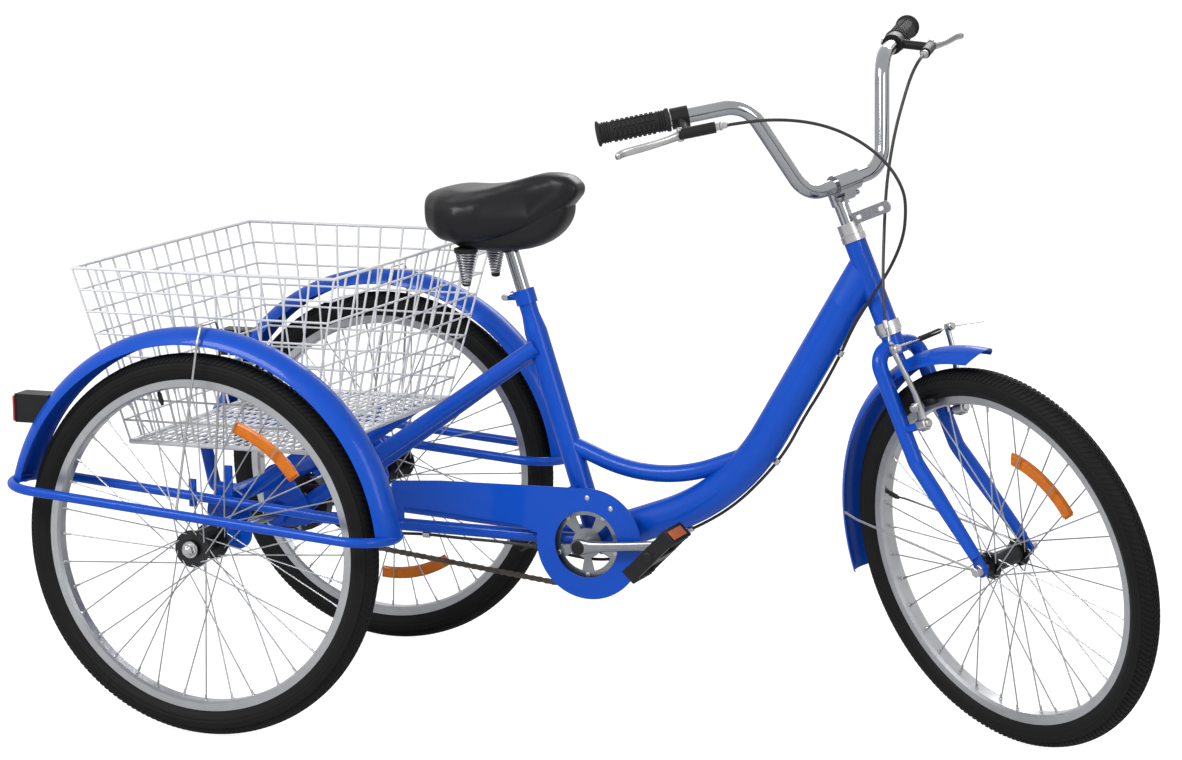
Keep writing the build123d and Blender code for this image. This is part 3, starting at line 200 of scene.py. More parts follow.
saddleVinyl = makeFinish("saddleVinyl", (0.004, 0.004, 0.005), (0.007, 0.007, 0.009), 8, 0.36, 0.05,
                         specular=0.2, coat=0.06, coatRoughness=0.35, grainScale=650, grainDepth=0.1,
                         cells=True)
whiteCoat = makeFinish("whiteCoat", (0.66, 0.67, 0.68), (0.56, 0.57, 0.59), 12, 0.36, 0.06, coat=0.3,
                       grainScale=700, grainDepth=0.04)
amberLens = makeFinish("amberLens", (0.62, 0.17, 0.003), (0.42, 0.085, 0.001), 60, 0.3, 0.05, coat=0.15,
                       specular=0.2, grainScale=380, grainDepth=0.3, cells=True)
redLens = makeFinish("redLens", (0.36, 0.008, 0.008), (0.22, 0.004, 0.004), 60, 0.2, 0.05, coat=0.6,
                     grainScale=380, grainDepth=0.6, cells=True)
cableSkin = makeFinish("cableSkin", (0.01, 0.01, 0.011), (0.016, 0.016, 0.016), 30, 0.35, 0.06, specular=0.4)

finishOf = {
    "_tyre": tyreRubber, "_rim": rimAlloy, "_hub": darkSteel, "_spokes": spokeSteel,
    "axle_right": zincSteel, "axle_left": zincSteel, "front_axle": zincSteel, "handlebar": chrome,
    "stem": chrome, "seat_post": chrome, "grips": gripRubber, "lever_bodies": blackPlastic,
    "brake_levers": leverAlloy, "saddle_base": darkSteel, "saddle_springs": springSteel,
    "saddle": saddleVinyl, "basket": whiteCoat, "basket_struts": bluePaint,
    "rear_sprocket": chainSteel, "chainring": crankSteel,
    "chain": chainSteel, "crank": crankSteel, "pedal": blackPlastic, "band_brake": darkSteel,
    "reflectors": blackPlastic, "chain_guard": bluePaint, "chain_stays": bluePaint, "headset": zincSteel,
    "lamp": zincSteel, "front_brake": zincSteel, "brake_cable": cableSkin, "front_brake_cable": cableSkin,
    "rear_brake_cable": cableSkin, "stay_wires": zincSteel,
}
for name, node in nodes.items():
    matches = [key for key in finishOf if key in name]
    chosen = finishOf[max(matches, key=len)] if matches else bluePaint
    node.data.materials.clear()
    node.data.materials.append(chosen)
print("finishes on", len(nodes), "frame pieces")


# Node trees and mesh helpers
def startTree(name, inputs):
    tree = bpy.data.node_groups.new(name, "GeometryNodeTree")
    tree.interface.new_socket("Geometry", in_out="OUTPUT", socket_type="NodeSocketGeometry")
    for label, kind in {"Geometry": "Geometry", **inputs, "Finish": "Material"}.items():
        tree.interface.new_socket(label, in_out="INPUT", socket_type="NodeSocket" + kind)
    return tree, addNode(tree, "NodeGroupInput").outputs


def closeTree(tree, entry, shape):
    real = addNode(tree, "GeometryNodeRealizeInstances", {0: shape})
    coat = addNode(tree, "GeometryNodeSetMaterial", {
        "Geometry": real.outputs[0], "Material": entry["Finish"]})
    addNode(tree, "NodeGroupOutput", {0: coat.outputs[0]})
    return tree


def makeRingTree():
    tree, entry = startTree("aroundTheAxle", {"Count": "Int"})
    dots = addNode(tree, "GeometryNodePoints", {"Count": entry["Count"]})
    step = addNode(tree, "ShaderNodeMath", {0: 2 * math.pi, 1: entry["Count"]}, operation="DIVIDE")
    index = addNode(tree, "GeometryNodeInputIndex")
    angle = addNode(tree, "ShaderNodeMath", {0: index.outputs[0], 1: step.outputs[0]}, operation="MULTIPLY")
    aim = addNode(tree, "ShaderNodeCombineXYZ", {"Y": angle.outputs[0]})
    copies = addNode(tree, "GeometryNodeInstanceOnPoints", {
        "Points": dots.outputs[0], "Instance": entry["Geometry"], "Rotation": aim.outputs[0]})
    return closeTree(tree, entry, copies.outputs[0])


def makeWireTree():
    tree, entry = startTree("roundWire", {"Diameter": "Float", "Sides": "Int"})
    line = addNode(tree, "GeometryNodeMeshToCurve", {"Mesh": entry["Geometry"]})
    half = addNode(tree, "ShaderNodeMath", {0: entry["Diameter"], 1: 0.5}, operation="MULTIPLY")
    ring = addNode(tree, "GeometryNodeCurvePrimitiveCircle", {
        "Resolution": entry["Sides"], "Radius": half.outputs[0]})
    skin = addNode(tree, "GeometryNodeCurveToMesh", {
        "Curve": line.outputs[0], "Profile Curve": ring.outputs[0], "Fill Caps": True})
    smooth = addNode(tree, "GeometryNodeSetShadeSmooth", {"Geometry": skin.outputs[0]})
    return closeTree(tree, entry, smooth.outputs[0])


ringTree = makeRingTree()
wireTree = makeWireTree()


def meshPiece(name, points, faces=(), edges=()):
    mesh = bpy.data.meshes.new(name)
    mesh.from_pydata([tuple(point) for point in points], list(edges), list(faces))
    return linked(name, mesh)


def evaluatedMesh(piece):
    return bpy.data.meshes.new_from_object(piece.evaluated_get(bpy.context.evaluated_depsgraph_get()))


def bands(rings, size, base=0, closed=False):
    # quads between neighbouring rings of points, the last joined to the first where closed
    faces = []
    for ring in range(rings if closed else rings - 1):
        low, high = base + ring * size, base + (ring + 1) * size % (rings * size)
        for step in range(size):
            following = (step + 1) % size
            faces.append((low + step, low + following, high + following, high + step))
    return faces


def caps(rings, size, base=0):
    last = base + (rings - 1) * size
    return [tuple(range(base, base + size)), tuple(range(last, last + size))]


def polar(radius, y, angle):
    return Vector((radius * math.cos(angle), y, radius * math.sin(angle))) / 1000


def cuboid(points, faces, low, high):
    base = len(points)
    points.extend(Vector((x, y, z)) / 1000 for x in (low[0], high[0]) for y in (low[1], high[1])
                  for z in (low[2], high[2]))
    faces.extend(tuple(base + corner for corner in face) for face in
                 ((0, 1, 3, 2), (4, 6, 7, 5), (0, 4, 5, 1), (2, 3, 7, 6), (0, 2, 6, 4), (1, 5, 7, 3)))


def signedPower(value, power):
    return math.copysign(abs(value) ** power, value)


def runTree(piece, tree, **values):
    work = piece.modifiers.new("shape", "NODES")
    work.node_group = tree
    for socket in tree.interface.items_tree:
        if socket.item_type == "SOCKET" and socket.in_out == "INPUT" and socket.name in values:
            work[socket.identifier] = values[socket.name]
    made = evaluatedMesh(piece)
    piece.modifiers.remove(work)
    old = piece.data
    piece.data = made
    bpy.data.meshes.remove(old)
    return piece


def wires(name, runs, diameter, finish, sides=8):
    points, edges = [], []
    for run in runs:
        for step, point in enumerate(run):
            points.append(point)
            if step:
                edges.append((len(points) - 2, len(points) - 1))
    return runTree(meshPiece(name, points, edges=edges), wireTree, Diameter=diameter / 1000, Sides=sides,
                   Finish=finish)


def finished(piece, body, finish=None, smooth=None):
    if finish:
        piece.data.materials.clear()
        piece.data.materials.append(finish)
    if smooth is not None:
        piece.data.polygons.foreach_set("use_smooth", [smooth] * len(piece.data.polygons))
    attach(piece, body)
    return piece


def outward(piece):
    form = bmesh.new()
    form.from_mesh(piece.data)
    bmesh.ops.remove_doubles(form, verts=form.verts, dist=1e-6)
    bmesh.ops.recalc_face_normals(form, faces=form.faces)
    form.to_mesh(piece.data)
    form.free()
    return piece


def lathe(name, items, finish, body):
    # each item: profile of (distance along, radius) in mm, start point, direction, number of sides
    points, faces = [], []
    for profile, start, direction, sides in items:
        along = Vector(direction).normalized()
        side = along.orthogonal().normalized()
        other = along.cross(side)
        first, last = caps(len(profile), sides, len(points))
        faces += bands(len(profile), sides, len(points)) + [first[::-1], last]
        for distance, radius in profile:
            for step in range(sides):
                angle = 2 * math.pi * step / sides
                points.append(start + along * distance / 1000
                              + (side * math.cos(angle) + other * math.sin(angle)) * radius / 1000)
    piece = outward(meshPiece(name, points, faces))
    bevelled = piece.modifiers.new("edge", "BEVEL")
    bevelled.width = 0.0004
    bevelled.segments = 1
    bevelled.limit_method = "ANGLE"
    return finished(piece, body, finish, smooth=False)


def ribbon(name, sections, finish, body, rounding=0.6):
    # each section: centre, direction of its width, direction of its thickness, width and thickness in mm
    points = []
    corners = 12
    for centre, wide, thick, width, thickness in sections:
        for step in range(corners):
            angle = 2 * math.pi * (step + 0.5) / corners
            flat = signedPower(math.cos(angle), rounding)
            tall = signedPower(math.sin(angle), rounding)
            points.append(centre + wide.normalized() * flat * width / 2000
                          + thick.normalized() * tall * thickness / 2000)
    faces = bands(len(sections), corners) + caps(len(sections), corners)
    return finished(outward(meshPiece(name, points, faces)), body, finish, smooth=True)


def twins(piece, label, bodyPlaces):
    made = []
    for body, matrix in bodyPlaces.items():
        twin = linked(body + "." + label, piece.data.copy())
        twin.data.transform(matrix)
        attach(twin, body)
        made.append(twin)
    bpy.data.objects.remove(piece)
    return made


# Steering: pieces are placed with the bar straight, then turned with it
axleHeight = 300
steering = dict(foot=(996, 639), lean=68.0, restTurn=-30.0)
headBase = place(steering["foot"][0], 0, steering["foot"][1])
headLean = math.radians(steering["lean"])
acrossWay = Vector((0, 1, 0))
steerLine = Vector((-math.cos(headLean), 0, math.sin(headLean)))
aheadOfSteer = Vector((math.sin(headLean), 0, math.cos(headLean)))
restSpin = Matrix.Rotation(math.radians(steering["restTurn"]), 4, steerLine)
restTurn = Matrix.Translation(headBase) @ restSpin @ Matrix.Translation(-headBase)


def headPoint(rise, forward=0, side=0):
    x, z = steering["foot"]
    return place(x - rise / math.tan(headLean) + forward, side, z + rise)


def steered(rise, forward=0, side=0):
    return restTurn @ headPoint(rise, forward, side)


def turned(piece):
    piece.data.transform(restTurn)
    return piece


def middleOf(node):
    low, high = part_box(node)
    return (Vector(low) + Vector(high)) / 2


wheels = {name: Matrix.Translation(middleOf(name + "_tyre"))
          for name in ("rear_wheel_right", "rear_wheel_left")}
wheels["front_wheel"] = Matrix.Translation(middleOf("front_wheel_tyre")) @ restTurn.to_3x3().to_4x4()


# Brake cables: points of the head are (rise, forward, side), those of the held cable (x, y, z)
cable = dict(
    diameter=0.005, lever=(916.5, 211.2, 998.4), noodle=(26, 61, -50),
    frontRoute=[(362, 85, 184), (342, 79, 160), (310, 70, 135), (277, 62, 110), (243, 58, 84), (209, 58, 57),
                (175, 62, 30), (137, 66, 3), (97, 66, -21), (60, 65, -39)],
    freeRoute=[(361, 87, -188), (358, 107, -150), (348, 132, -110), (331, 158, -79), (305, 184, -57),
               (273, 201, -44), (238, 201, -36), (207, 186, -32)],
    heldRoute=[(923, 0, 591), (895, 0, 538), (863, 0, 489), (835, 0, 436), (793, 0, 385.5), (745.5, 0, 341),
               (690, 0, 307), (632, 0, 281.5), (586, -8, 256), (528, -13, 243), (468, -22, 253),
               (416, -34, 265), (364, -40, 269), (306, -46, 271), (248, -51, 275), (194, -47, 272),
               (142, -31, 266), (96, -10, 262), (62, 6, 263), (40.5, 11, 277.5)],
    neckRoute=[(143, 107, -72), (87, 49, -30), (32, -12, -23), (-10, -58, -8)])

# Basket of welded wire
basket = dict(topRear=-237, topFront=217, topHalf=300, top=716, floorRear=-166, floorFront=148, floorHalf=258,
              floor=438, wire=3.6, rim=5.4, frameBar=8.0, rows=8, columns=11, across=14)


def basketCorners(share):
    low = (basket["floorRear"], basket["floorFront"], basket["floorHalf"], basket["floor"])
    high = (basket["topRear"], basket["topFront"], basket["topHalf"], basket["top"])
    rear, front, half, height = (a + (b - a) * share for a, b in zip(low, high))
    return [place(x, y, height) for x, y in ((rear, -half), (front, -half), (front, half), (rear, half))]


def buildBasket():
    runs = []
    for row in range(1, basket["rows"]):
        ring = basketCorners(row / basket["rows"])
        runs.append(ring + ring[:1])
    low, high = basketCorners(0), basketCorners(1)
    for side in range(4):
        count = basket["columns"] if side % 2 == 0 else basket["across"]
        for column in range(count):
            share = column / count
            runs.append([level[side].lerp(level[(side + 1) % 4], share) for level in (low, high)])
    for column in range(1, basket["across"]):
        share = column / basket["across"]
        runs.append([low[0].lerp(low[3], share), low[1].lerp(low[2], share)])
    for column in range(1, basket["columns"] * 2):
        share = column / basket["columns"] / 2
        runs.append([low[0].lerp(low[1], share), low[3].lerp(low[2], share)])
    mesh = wires("basketWires", runs, basket["wire"], whiteCoat)
    rim = wires("basketRim", [high + high[:1]], basket["rim"], whiteCoat, 10)
    bar = wires("basketFloorBar", [low + low[:1]], basket["frameBar"], whiteCoat, 10)
    for piece in (mesh, rim, bar):
        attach(piece, "frame")
    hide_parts("basket_sides", "basket_ends", "basket_floor")


buildBasket()
print("basket ready")


def cordCurve(name, points, finish, diameter):
    line = bpy.data.curves.new(name, "CURVE")
    line.dimensions = "3D"
    strand = line.splines.new("NURBS")
    strand.points.add(len(points) - 1)
    for knot, point in zip(strand.points, points):
        knot.co = (*point, 1)
    strand.order_u = 3
    strand.use_endpoint_u = True
    strand.resolution_u = 6
    line.bevel_resolution = 3
    line.use_fill_caps = True
    line.materials.append(finish)
    piece = linked(name, line)
    plain = evaluatedMesh(piece)
    path = [vertex.co.copy() for vertex in plain.vertices]
    bpy.data.meshes.remove(plain)
    line.bevel_depth = diameter / 2
    return piece, path


def routeLength(path):
    return sum((b - a).length for a, b in zip(path, path[1:]))


def cordTube(name, line):
    tube = linked(name, evaluatedMesh(line))
    bpy.data.objects.remove(line)
    return tube


leverX, leverY, leverZ = cable["lever"]
adjusters = {side: restTurn @ place(leverX, side * leverY, leverZ) for side in (-1, 1)}
noodleStart = steered(*cable["noodle"])
frontLine = [adjusters[1]] + [steered(*point) for point in cable["frontRoute"]] + [noodleStart]
heldLine = [place(*point) for point in cable["heldRoute"]]
freeLine = [adjusters[-1]] + [steered(*point) for point in cable["freeRoute"]]
freeLine += [headPoint(*point) for point in cable["neckRoute"]] + [heldLine[0]]
frontCord, frontPath = cordCurve("frontBrakeCable", frontLine, cableSkin, cable["diameter"])
heldCord, heldPath = cordCurve("rearBrakeCable", heldLine, cableSkin, cable["diameter"])
freeCurve, freePath = cordCurve("freeCableLine", freeLine, cableSkin, cable["diameter"])
freeCord = cordTube("rearBrakeCableFree", freeCurve)
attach(frontCord, "steering")
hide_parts("front_brake_cable")
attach(heldCord, "frame")
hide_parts("rear_brake_cable")
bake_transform(freeCord)
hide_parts("rear_brake_cable_free")
print("cables", [round(routeLength(path), 3) for path in (frontPath, heldPath, freePath)])


# Tyres with tread blocks
tyre = dict(radius=300.0, section=21.5, base=19.9, pitches=200, spread=64, lugHeight=1.25, lugSink=0.4,
            ribHeight=0.35, ribs=(6, 9), grooveDepth=0.7, grooves=(84, 99, 102), bead=(10, 255), steps=240)


def makeTyres():
    middle = tyre["radius"] - tyre["section"]
    outline = []
    for angle in range(-126, 127, 3):
        off = abs(angle)
        reach = tyre["base"] if off < tyre["spread"] else tyre["section"]
        if off in tyre["ribs"]:
            reach += tyre["ribHeight"]
        if off in tyre["grooves"]:
            reach -= tyre["grooveDepth"]
        bearing = math.radians(angle)
        outline.append((reach * math.sin(bearing), middle + reach * math.cos(bearing)))
    beadHalf, beadRadius = tyre["bead"]
    outline += [(beadHalf, beadRadius), (-beadHalf, beadRadius)]
    points = []
    for step in range(tyre["steps"]):
        turnBy = 2 * math.pi * step / tyre["steps"]
        points += [polar(r, y, turnBy) for y, r in outline]
    body = outward(meshPiece("tyreBody", points, bands(tyre["steps"], len(outline), closed=True)))
    body.data.polygons.foreach_set("use_smooth", [True] * len(body.data.polygons))
    body.data.materials.append(tyreRubber)
    points, faces = [], []
    pitch = 360 / tyre["pitches"]

    def lug(first, last, start, slant, width, steps=3):
        top = len(points)
        for step in range(steps + 1):
            angle = first + (last - first) * step / steps
            for edge in (0, 1):
                for deep in (0, 1):
                    reach = tyre["base"] - tyre["lugSink"] + deep * (tyre["lugHeight"] + tyre["ribHeight"])
                    around = math.radians(start + slant * (step / steps) ** 1.5 + edge * width)
                    y = reach * math.sin(math.radians(angle))
                    r = middle + reach * math.cos(math.radians(angle))
                    points.append(polar(r, y, around))
        for step in range(steps):
            a = top + 4 * step
            faces.extend([(a + 1, a + 3, a + 7, a + 5), (a, a + 1, a + 5, a + 4),
                          (a + 3, a + 2, a + 6, a + 7)])
        end = top + 4 * steps
        faces.extend([(top, top + 2, top + 3, top + 1), (end, end + 1, end + 3, end + 2)])

    for side, start in ((1, 0.0), (-1, pitch / 2)):
        lug(side * 15, side * 62, start, pitch * 1.1, pitch * 0.55, 4)
        lug(side * 1.5, side * 11, start + pitch * 0.2, pitch * 0.2, pitch * 0.6, 1)
    tread = meshPiece("tyreTread", points, faces)
    runTree(tread, ringTree, Count=tyre["pitches"], Finish=tyreRubber)
    outward(tread)
    tread.data.polygons.foreach_set("use_smooth", [False] * len(tread.data.polygons))
    for made in twins(body, "tyre", wheels):
        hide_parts(made.name.split(".")[0] + "_tyre")
    twins(tread, "tread", wheels)


makeTyres()
print("tyres ready")


# Small wheel parts
wheelBits = dict(spokes=36, lead=62.0, rimRadius=246.0, rimSpread=4.0, nipple=11.0, valveLength=31.0,
                 flanges=dict(front=(16.5, 62.0), rear=(24.5, 64.0)))


def arcPlate(name, first, last, inner, outer, low, high, finish, steps=12, raised=1.4):
    points = []
    edge = min(2.5, (outer - inner) / 4)
    outline = [(inner, low + raised), (inner + edge, low), (outer - edge, low), (outer, low + raised),
               (outer, high - raised), (outer - edge, high), (inner + edge, high), (inner, high - raised)]
    for step in range(steps + 1):
        angle = math.radians(first + (last - first) * step / steps)
        points += [polar(r, y, angle) for r, y in outline]
    count = len(outline)
    piece = outward(meshPiece(name, points, bands(steps + 1, count) + caps(steps + 1, count)))
    piece.data.materials.append(finish)
    return piece


def makeWheelBits():
    for wheel, matrix in wheels.items():
        nipples = []
        for index in range(wheelBits["spokes"]):
            angle = 2 * math.pi * index / wheelBits["spokes"]
            side = -1 if index % 2 else 1
            trail = 1 if (index // 2) % 2 else -1
            foot = polar(wheelBits["rimRadius"] + 1, side * wheelBits["rimSpread"], angle)
            reach, span = wheelBits["flanges"]["front" if wheel == "front_wheel" else "rear"]
            atHub = angle + trail * math.radians(wheelBits["lead"])
            hubHole = polar(reach, side * span / 2, atHub)
            lean = (hubHole - foot).normalized()
            nipples.append(([(0, 3.2), (2, 3.2), (2.4, 2.0), (wheelBits["nipple"], 1.8)], foot, lean, 8))
        bits = lathe(wheel + ".nipples", nipples, zincSteel, wheel)
        bits.data.transform(matrix)
        reflector = wheelReflectors[wheel]
        valveAngle = math.radians(reflector["valve"])
        stem = Vector((math.cos(valveAngle), 0, math.sin(valveAngle)))
        valve = lathe(wheel + ".valve", [
            ([(0, 4.2), (3, 4.2), (3.4, 3.0), (12, 2.9), (12.3, 3.9), (26, 3.9), (27, 3.0),
              (wheelBits["valveLength"], 2.6)], stem * 0.2545, -stem, 12)], blackPlastic, wheel)
        valve.data.transform(matrix)
        low, high = reflector["span"]
        lens = arcPlate(wheel + ".reflector", low, high, *reflector["radii"], -5, 5, amberLens)
        back = arcPlate(wheel + ".reflectorBack", low - 1, high + 1, reflector["radii"][0] - 1,
                        reflector["radii"][1] + 1, -2, 2, amberLens)
        for piece in (lens, back):
            piece.data.transform(matrix)
            finished(piece, wheel, smooth=False)


wheelReflectors = {
    "rear_wheel_right": dict(span=(36, 71), radii=(189, 207), valve=106),
    "rear_wheel_left": dict(span=(-95, -58), radii=(179, 197), valve=200),
    "front_wheel": dict(span=(35, 77), radii=(163, 181), valve=166),
}
makeWheelBits()


def makeAxleEnds():
    nut = [(-13, 9), (-8.5, 9), (-8.5, 8.2), (0, 8.2), (1, 7)]
    for side in (-1, 1):
        body = "rear_wheel_right" if side < 0 else "rear_wheel_left"
        lathe("axleNut." + body, [
            ([(382, 10.5), (384, 10.5), (384, 9.2), (391, 9.2), (392, 8), (393.5, 5.2), (395, 4.8)],
             place(0, 0, axleHeight), (0, side, 0), 6),
            ([(380.5, 13), (382.5, 13)], place(0, 0, axleHeight), (0, side, 0), 24)], zincSteel, body)
    front = wheels["front_wheel"]
    frontNuts = []
    for side in (-1, 1):
        way = front.to_3x3() @ Vector((0, side, 0))
        frontNuts.append((nut, front.translation + way * 0.0645, way, 6))
        frontNuts.append(([(-16, 11), (-13, 11)], front.translation + way * 0.0645, way, 24))
    lathe("frontAxleNuts", frontNuts, zincSteel, "steering")


makeAxleEnds()
print("wheel parts ready")


# Grips and brake levers
grips = dict(radius=15.5, flange=19.0, block=1.1, rings=3, ringPitch=4, rows=9, rowPitch=7.2, rowLength=4.6,
             blockHalf=4.6, blocksRound=8, sides=40)
barEnd = place(769.6, 322, 999)
gripRun = Vector((-0.576, 0.8156, -0.0544)).normalized()
leverOut = Vector((0.8094, 0.56, -0.1768)).normalized()


def onLever(back, out=0.0):
    return barEnd - gripRun * back / 1000 + leverOut * out / 1000


def bothSides(point):
    return [point, Vector((point.x, -point.y, point.z))]


def makeGrips():
    for index, name in enumerate(("leftGrip", "rightGrip")):
        start = bothSides(onLever(-5))[index]
        way = bothSides(-gripRun)[index]
        deep, proud = grips["radius"] - 0.8, grips["radius"] + 0.9
        profile = [(0, 11), (0.8, 16), (1.6, grips["flange"]), (5, grips["flange"]),
                   (6, grips["radius"] + 0.6)]
        for first, plain in ((9, [(22, deep), (90, deep)]), (91, [])):
            for ring in range(grips["rings"]):
                at = first + ring * grips["ringPitch"]
                profile += [(at, deep), (at + 1.4, proud), (at + 2.6, proud), (at + 3.6, deep)]
            profile += plain
        profile += [(106, 17.5), (109, 17.8), (110.5, 17), (111, 12)]
        body = lathe(name, [(profile, start, way, grips["sides"])], gripRubber, "steering")
        blocks, faces = [], []
        for row in range(grips["rows"]):
            low = 25 + row * grips["rowPitch"]
            high = low + grips["rowLength"]
            base = len(blocks)
            half = grips["blockHalf"]
            for y in (low, high):
                for x in (-half, half):
                    for r in (grips["radius"] - 1.2, grips["radius"] + grips["block"]):
                        blocks.append(Vector((x, y, math.sqrt(r * r - x * x))) / 1000)
            faces += [(base + a, base + b, base + c, base + d) for a, b, c, d in
                      ((1, 3, 7, 5), (0, 4, 6, 2), (0, 1, 5, 4), (2, 6, 7, 3), (0, 2, 3, 1), (4, 5, 7, 6))]
        rows = runTree(meshPiece(name + "Blocks", blocks, faces), ringTree, Count=grips["blocksRound"],
                       Finish=gripRubber)
        outward(rows)
        rows.data.transform(acrossWay.rotation_difference(way).to_matrix().to_4x4())
        rows.data.transform(Matrix.Translation(start))
        turned(body)
        finished(turned(rows), "steering", smooth=False)
        if index == 0:
            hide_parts("grips")


makeGrips()


def runAt(line, step):
    return (line[min(step + 1, len(line) - 1)] - line[max(step - 1, 0)]).normalized()


def makeLevers():
    # distance inboard, distance out, width and thickness of the blade
    bladePath = [(116, 57, 13, 9), (104, 63.5, 12, 8), (92, 68.5, 11, 7), (76, 73, 11, 6),
                 (58, 76.5, 12, 5.5), (42, 79, 12.5, 5.5), (30, 81, 12, 5.5), (22, 83.5, 11.5, 6.5),
                 (17, 87.5, 11, 8), (14.5, 91, 8, 6.5)]
    for side in (0, 1):
        centres = [bothSides(onLever(back, out))[side] for back, out, _, _ in bladePath]
        wide = bothSides(leverOut.cross(gripRun))[side]
        sections = [(centres[step], wide, wide.cross(runAt(centres, step)), width, thick)
                    for step, (_, _, width, thick) in enumerate(bladePath)]
        blade = turned(ribbon("leverBlade" + str(side), sections, leverAlloy, "steering"))
        turned(lathe("leverBolts" + str(side), [
            ([(-10.5, 3.2), (-10.2, 5), (-8, 5), (8, 4.2), (10, 4.2), (10.4, 3)],
             bothSides(onLever(113, 57))[side], wide, 12),
            ([(0, 5.6), (9, 5.6), (9, 6.6), (13, 6.6), (13, 4.6), (20, 4.6), (20, 3.2), (23, 3.0)],
             bothSides(onLever(163, 57))[side], bothSides(-gripRun)[side], 14),
            ([(14, 4), (14.4, 4.8), (19, 4.8), (19.6, 4)], bothSides(onLever(121))[side],
             -bothSides(leverOut)[side], 12)], leverAlloy, "steering"))
        if side == 0:
            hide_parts("brake_levers")


makeLevers()
print("bar ready")


# Saddle and its springs
saddle = dict(sections=[(249, 80, 774, 816), (262, 138, 760, 826), (290, 190, 745, 828), (326, 216, 741, 826),
                        (360, 198, 745, 830), (395, 148, 752, 839), (430, 102, 763, 849), (462, 76, 781, 855),
                        (485, 61, 803, 852), (501, 42, 820, 839)],
              shell=[(296, 116, 741, 770), (312, 142, 734, 775), (345, 154, 730, 780), (385, 132, 729.5, 788),
                     (420, 104, 733, 800), (446, 84, 743, 812), (466, 70, 758, 822), (478, 56, 774, 826),
                     (484, 36, 788, 824)],
              corners=40, squareness=0.55, shellCorners=32, shellSquareness=0.7, skin=1.5, fill=0.8,
              voxel=0.005, pressure=4.0, lastFrame=20, mostPuff=0.003, coil=3.5, coils=12, coilSteps=18,
              coilTop=5.5, coilFoot=16.0)


def loftedRings(sections, corners, squareness):
    # each section: x, width, lowest and highest point in mm
    points = []
    for x, width, low, high in sections:
        for step in range(corners):
            angle = 2 * math.pi * step / corners
            y = signedPower(math.cos(angle), squareness) * width / 2
            z = signedPower(math.sin(angle), squareness) * (high - low) / 2
            points.append(place(x, y, (low + high) / 2 + z))
    return points, bands(len(sections), corners) + caps(len(sections), corners)


def makeSaddle():
    skin = saddle["skin"]
    under = [(x, width - 2 * skin, low + skin, high - skin) for x, width, low, high in saddle["sections"]]
    pad = outward(meshPiece("saddlePad", *loftedRings(under, saddle["corners"], saddle["squareness"])))
    remesh = pad.modifiers.new("remesh", "REMESH")
    remesh.mode = "VOXEL"
    remesh.voxel_size = saddle["voxel"]
    soften = pad.modifiers.new("soften", "SMOOTH")
    soften.iterations = 6
    even = evaluatedMesh(pad)
    pad.modifiers.clear()
    pad.data = even
    start = [vertex.co.copy() for vertex in pad.data.vertices]
    cloth = pad.modifiers.new("stuffing", "CLOTH")
    cloth.settings.use_pressure = True
    cloth.settings.uniform_pressure_force = saddle["pressure"]
    cloth.settings.tension_stiffness = 60
    cloth.settings.compression_stiffness = 60
    cloth.settings.bending_stiffness = 6
    cloth.settings.effector_weights.gravity = 0
    cloth.point_cache.frame_start = 1
    cloth.point_cache.frame_end = saddle["lastFrame"]
    for frameNow in range(1, saddle["lastFrame"] + 1):
        scene.frame_set(frameNow)
    filled = evaluatedMesh(pad)
    pad.modifiers.clear()
    pad.data = filled
    scene.frame_set(1)
    for vertex, before in zip(pad.data.vertices, start):
        moved = vertex.co - before
        if moved.length > saddle["mostPuff"]:
            vertex.co = before + moved.normalized() * saddle["mostPuff"]
    finer = pad.modifiers.new("finer", "SUBSURF")
    finer.levels = finer.render_levels = 1
    finished(pad, "frame", saddleVinyl, smooth=True)
    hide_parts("saddle")


def makeSaddleShell():
    shell = outward(meshPiece("saddleShell", *loftedRings(
        saddle["shell"], saddle["shellCorners"], saddle["shellSquareness"])))
    finer = shell.modifiers.new("finer", "SUBSURF")
    finer.levels = finer.render_levels = 1
    finished(shell, "frame", blackPlastic, smooth=True)
    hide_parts("saddle_base")
    discs = []
    for side in (-1, 1):
        for ring in range(3):
            discs.append(([(ring * 2.4, 12.5), (ring * 2.4 + 1.6, 12.5), (ring * 2.4 + 2.4, 10.5)],
                          place(385, side * 27, 741), (0, side, 0), 36))
        discs.append(([(0, 9), (10, 9), (10, 6.5), (15, 6.5), (16, 5)], place(385, side * 27, 741),
                      (0, side, 0), 6))
    discs.append(([(-28, 8), (28, 8)], place(385, 0, 741), (0, 1, 0), 20))
    lathe("saddleClamp", discs, darkSteel, "frame")


makeSaddle()
makeSaddleShell()


def makeSprings():
    runs, ends = [], []
    count = saddle["coils"] * saddle["coilSteps"]
    for side in (-1, 1):
        run = []
        for step in range(count + 1):
            radius = saddle["coilTop"] + (saddle["coilFoot"] - saddle["coilTop"]) * step / count
            angle = 2 * math.pi * step / saddle["coilSteps"] * side
            run.append(place(327 + radius * math.cos(angle), side * 57 + radius * math.sin(angle),
                             681 + 51 * step / count))
        runs.append(run)
        ends.append(([(0, 4.5), (2, 7), (7, 7), (8, 4)], place(327, side * 57, 677), (0, 0, 1), 16))
        ends.append(([(-3, 15), (0, 19), (6, 19), (8, 12)], place(327, side * 57, 731), (0, 0, 1), 28))
    coils = wires("saddleCoils", runs, saddle["coil"], springSteel)
    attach(coils, "frame")
    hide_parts("saddle_springs")
    lathe("springCaps", ends, blackPlastic, "frame")


makeSprings()
print("saddle ready")


# Chain, teeth, cranks and pedals
drive = dict(bracket=(520, 278), pitch=12.7, ringTeeth=36, sprocketTeeth=18, line=-45.0, toothDepth=3.6,
             linkEnd=4.1, linkWaist=3.0, pin=2.0, crankSide=78)


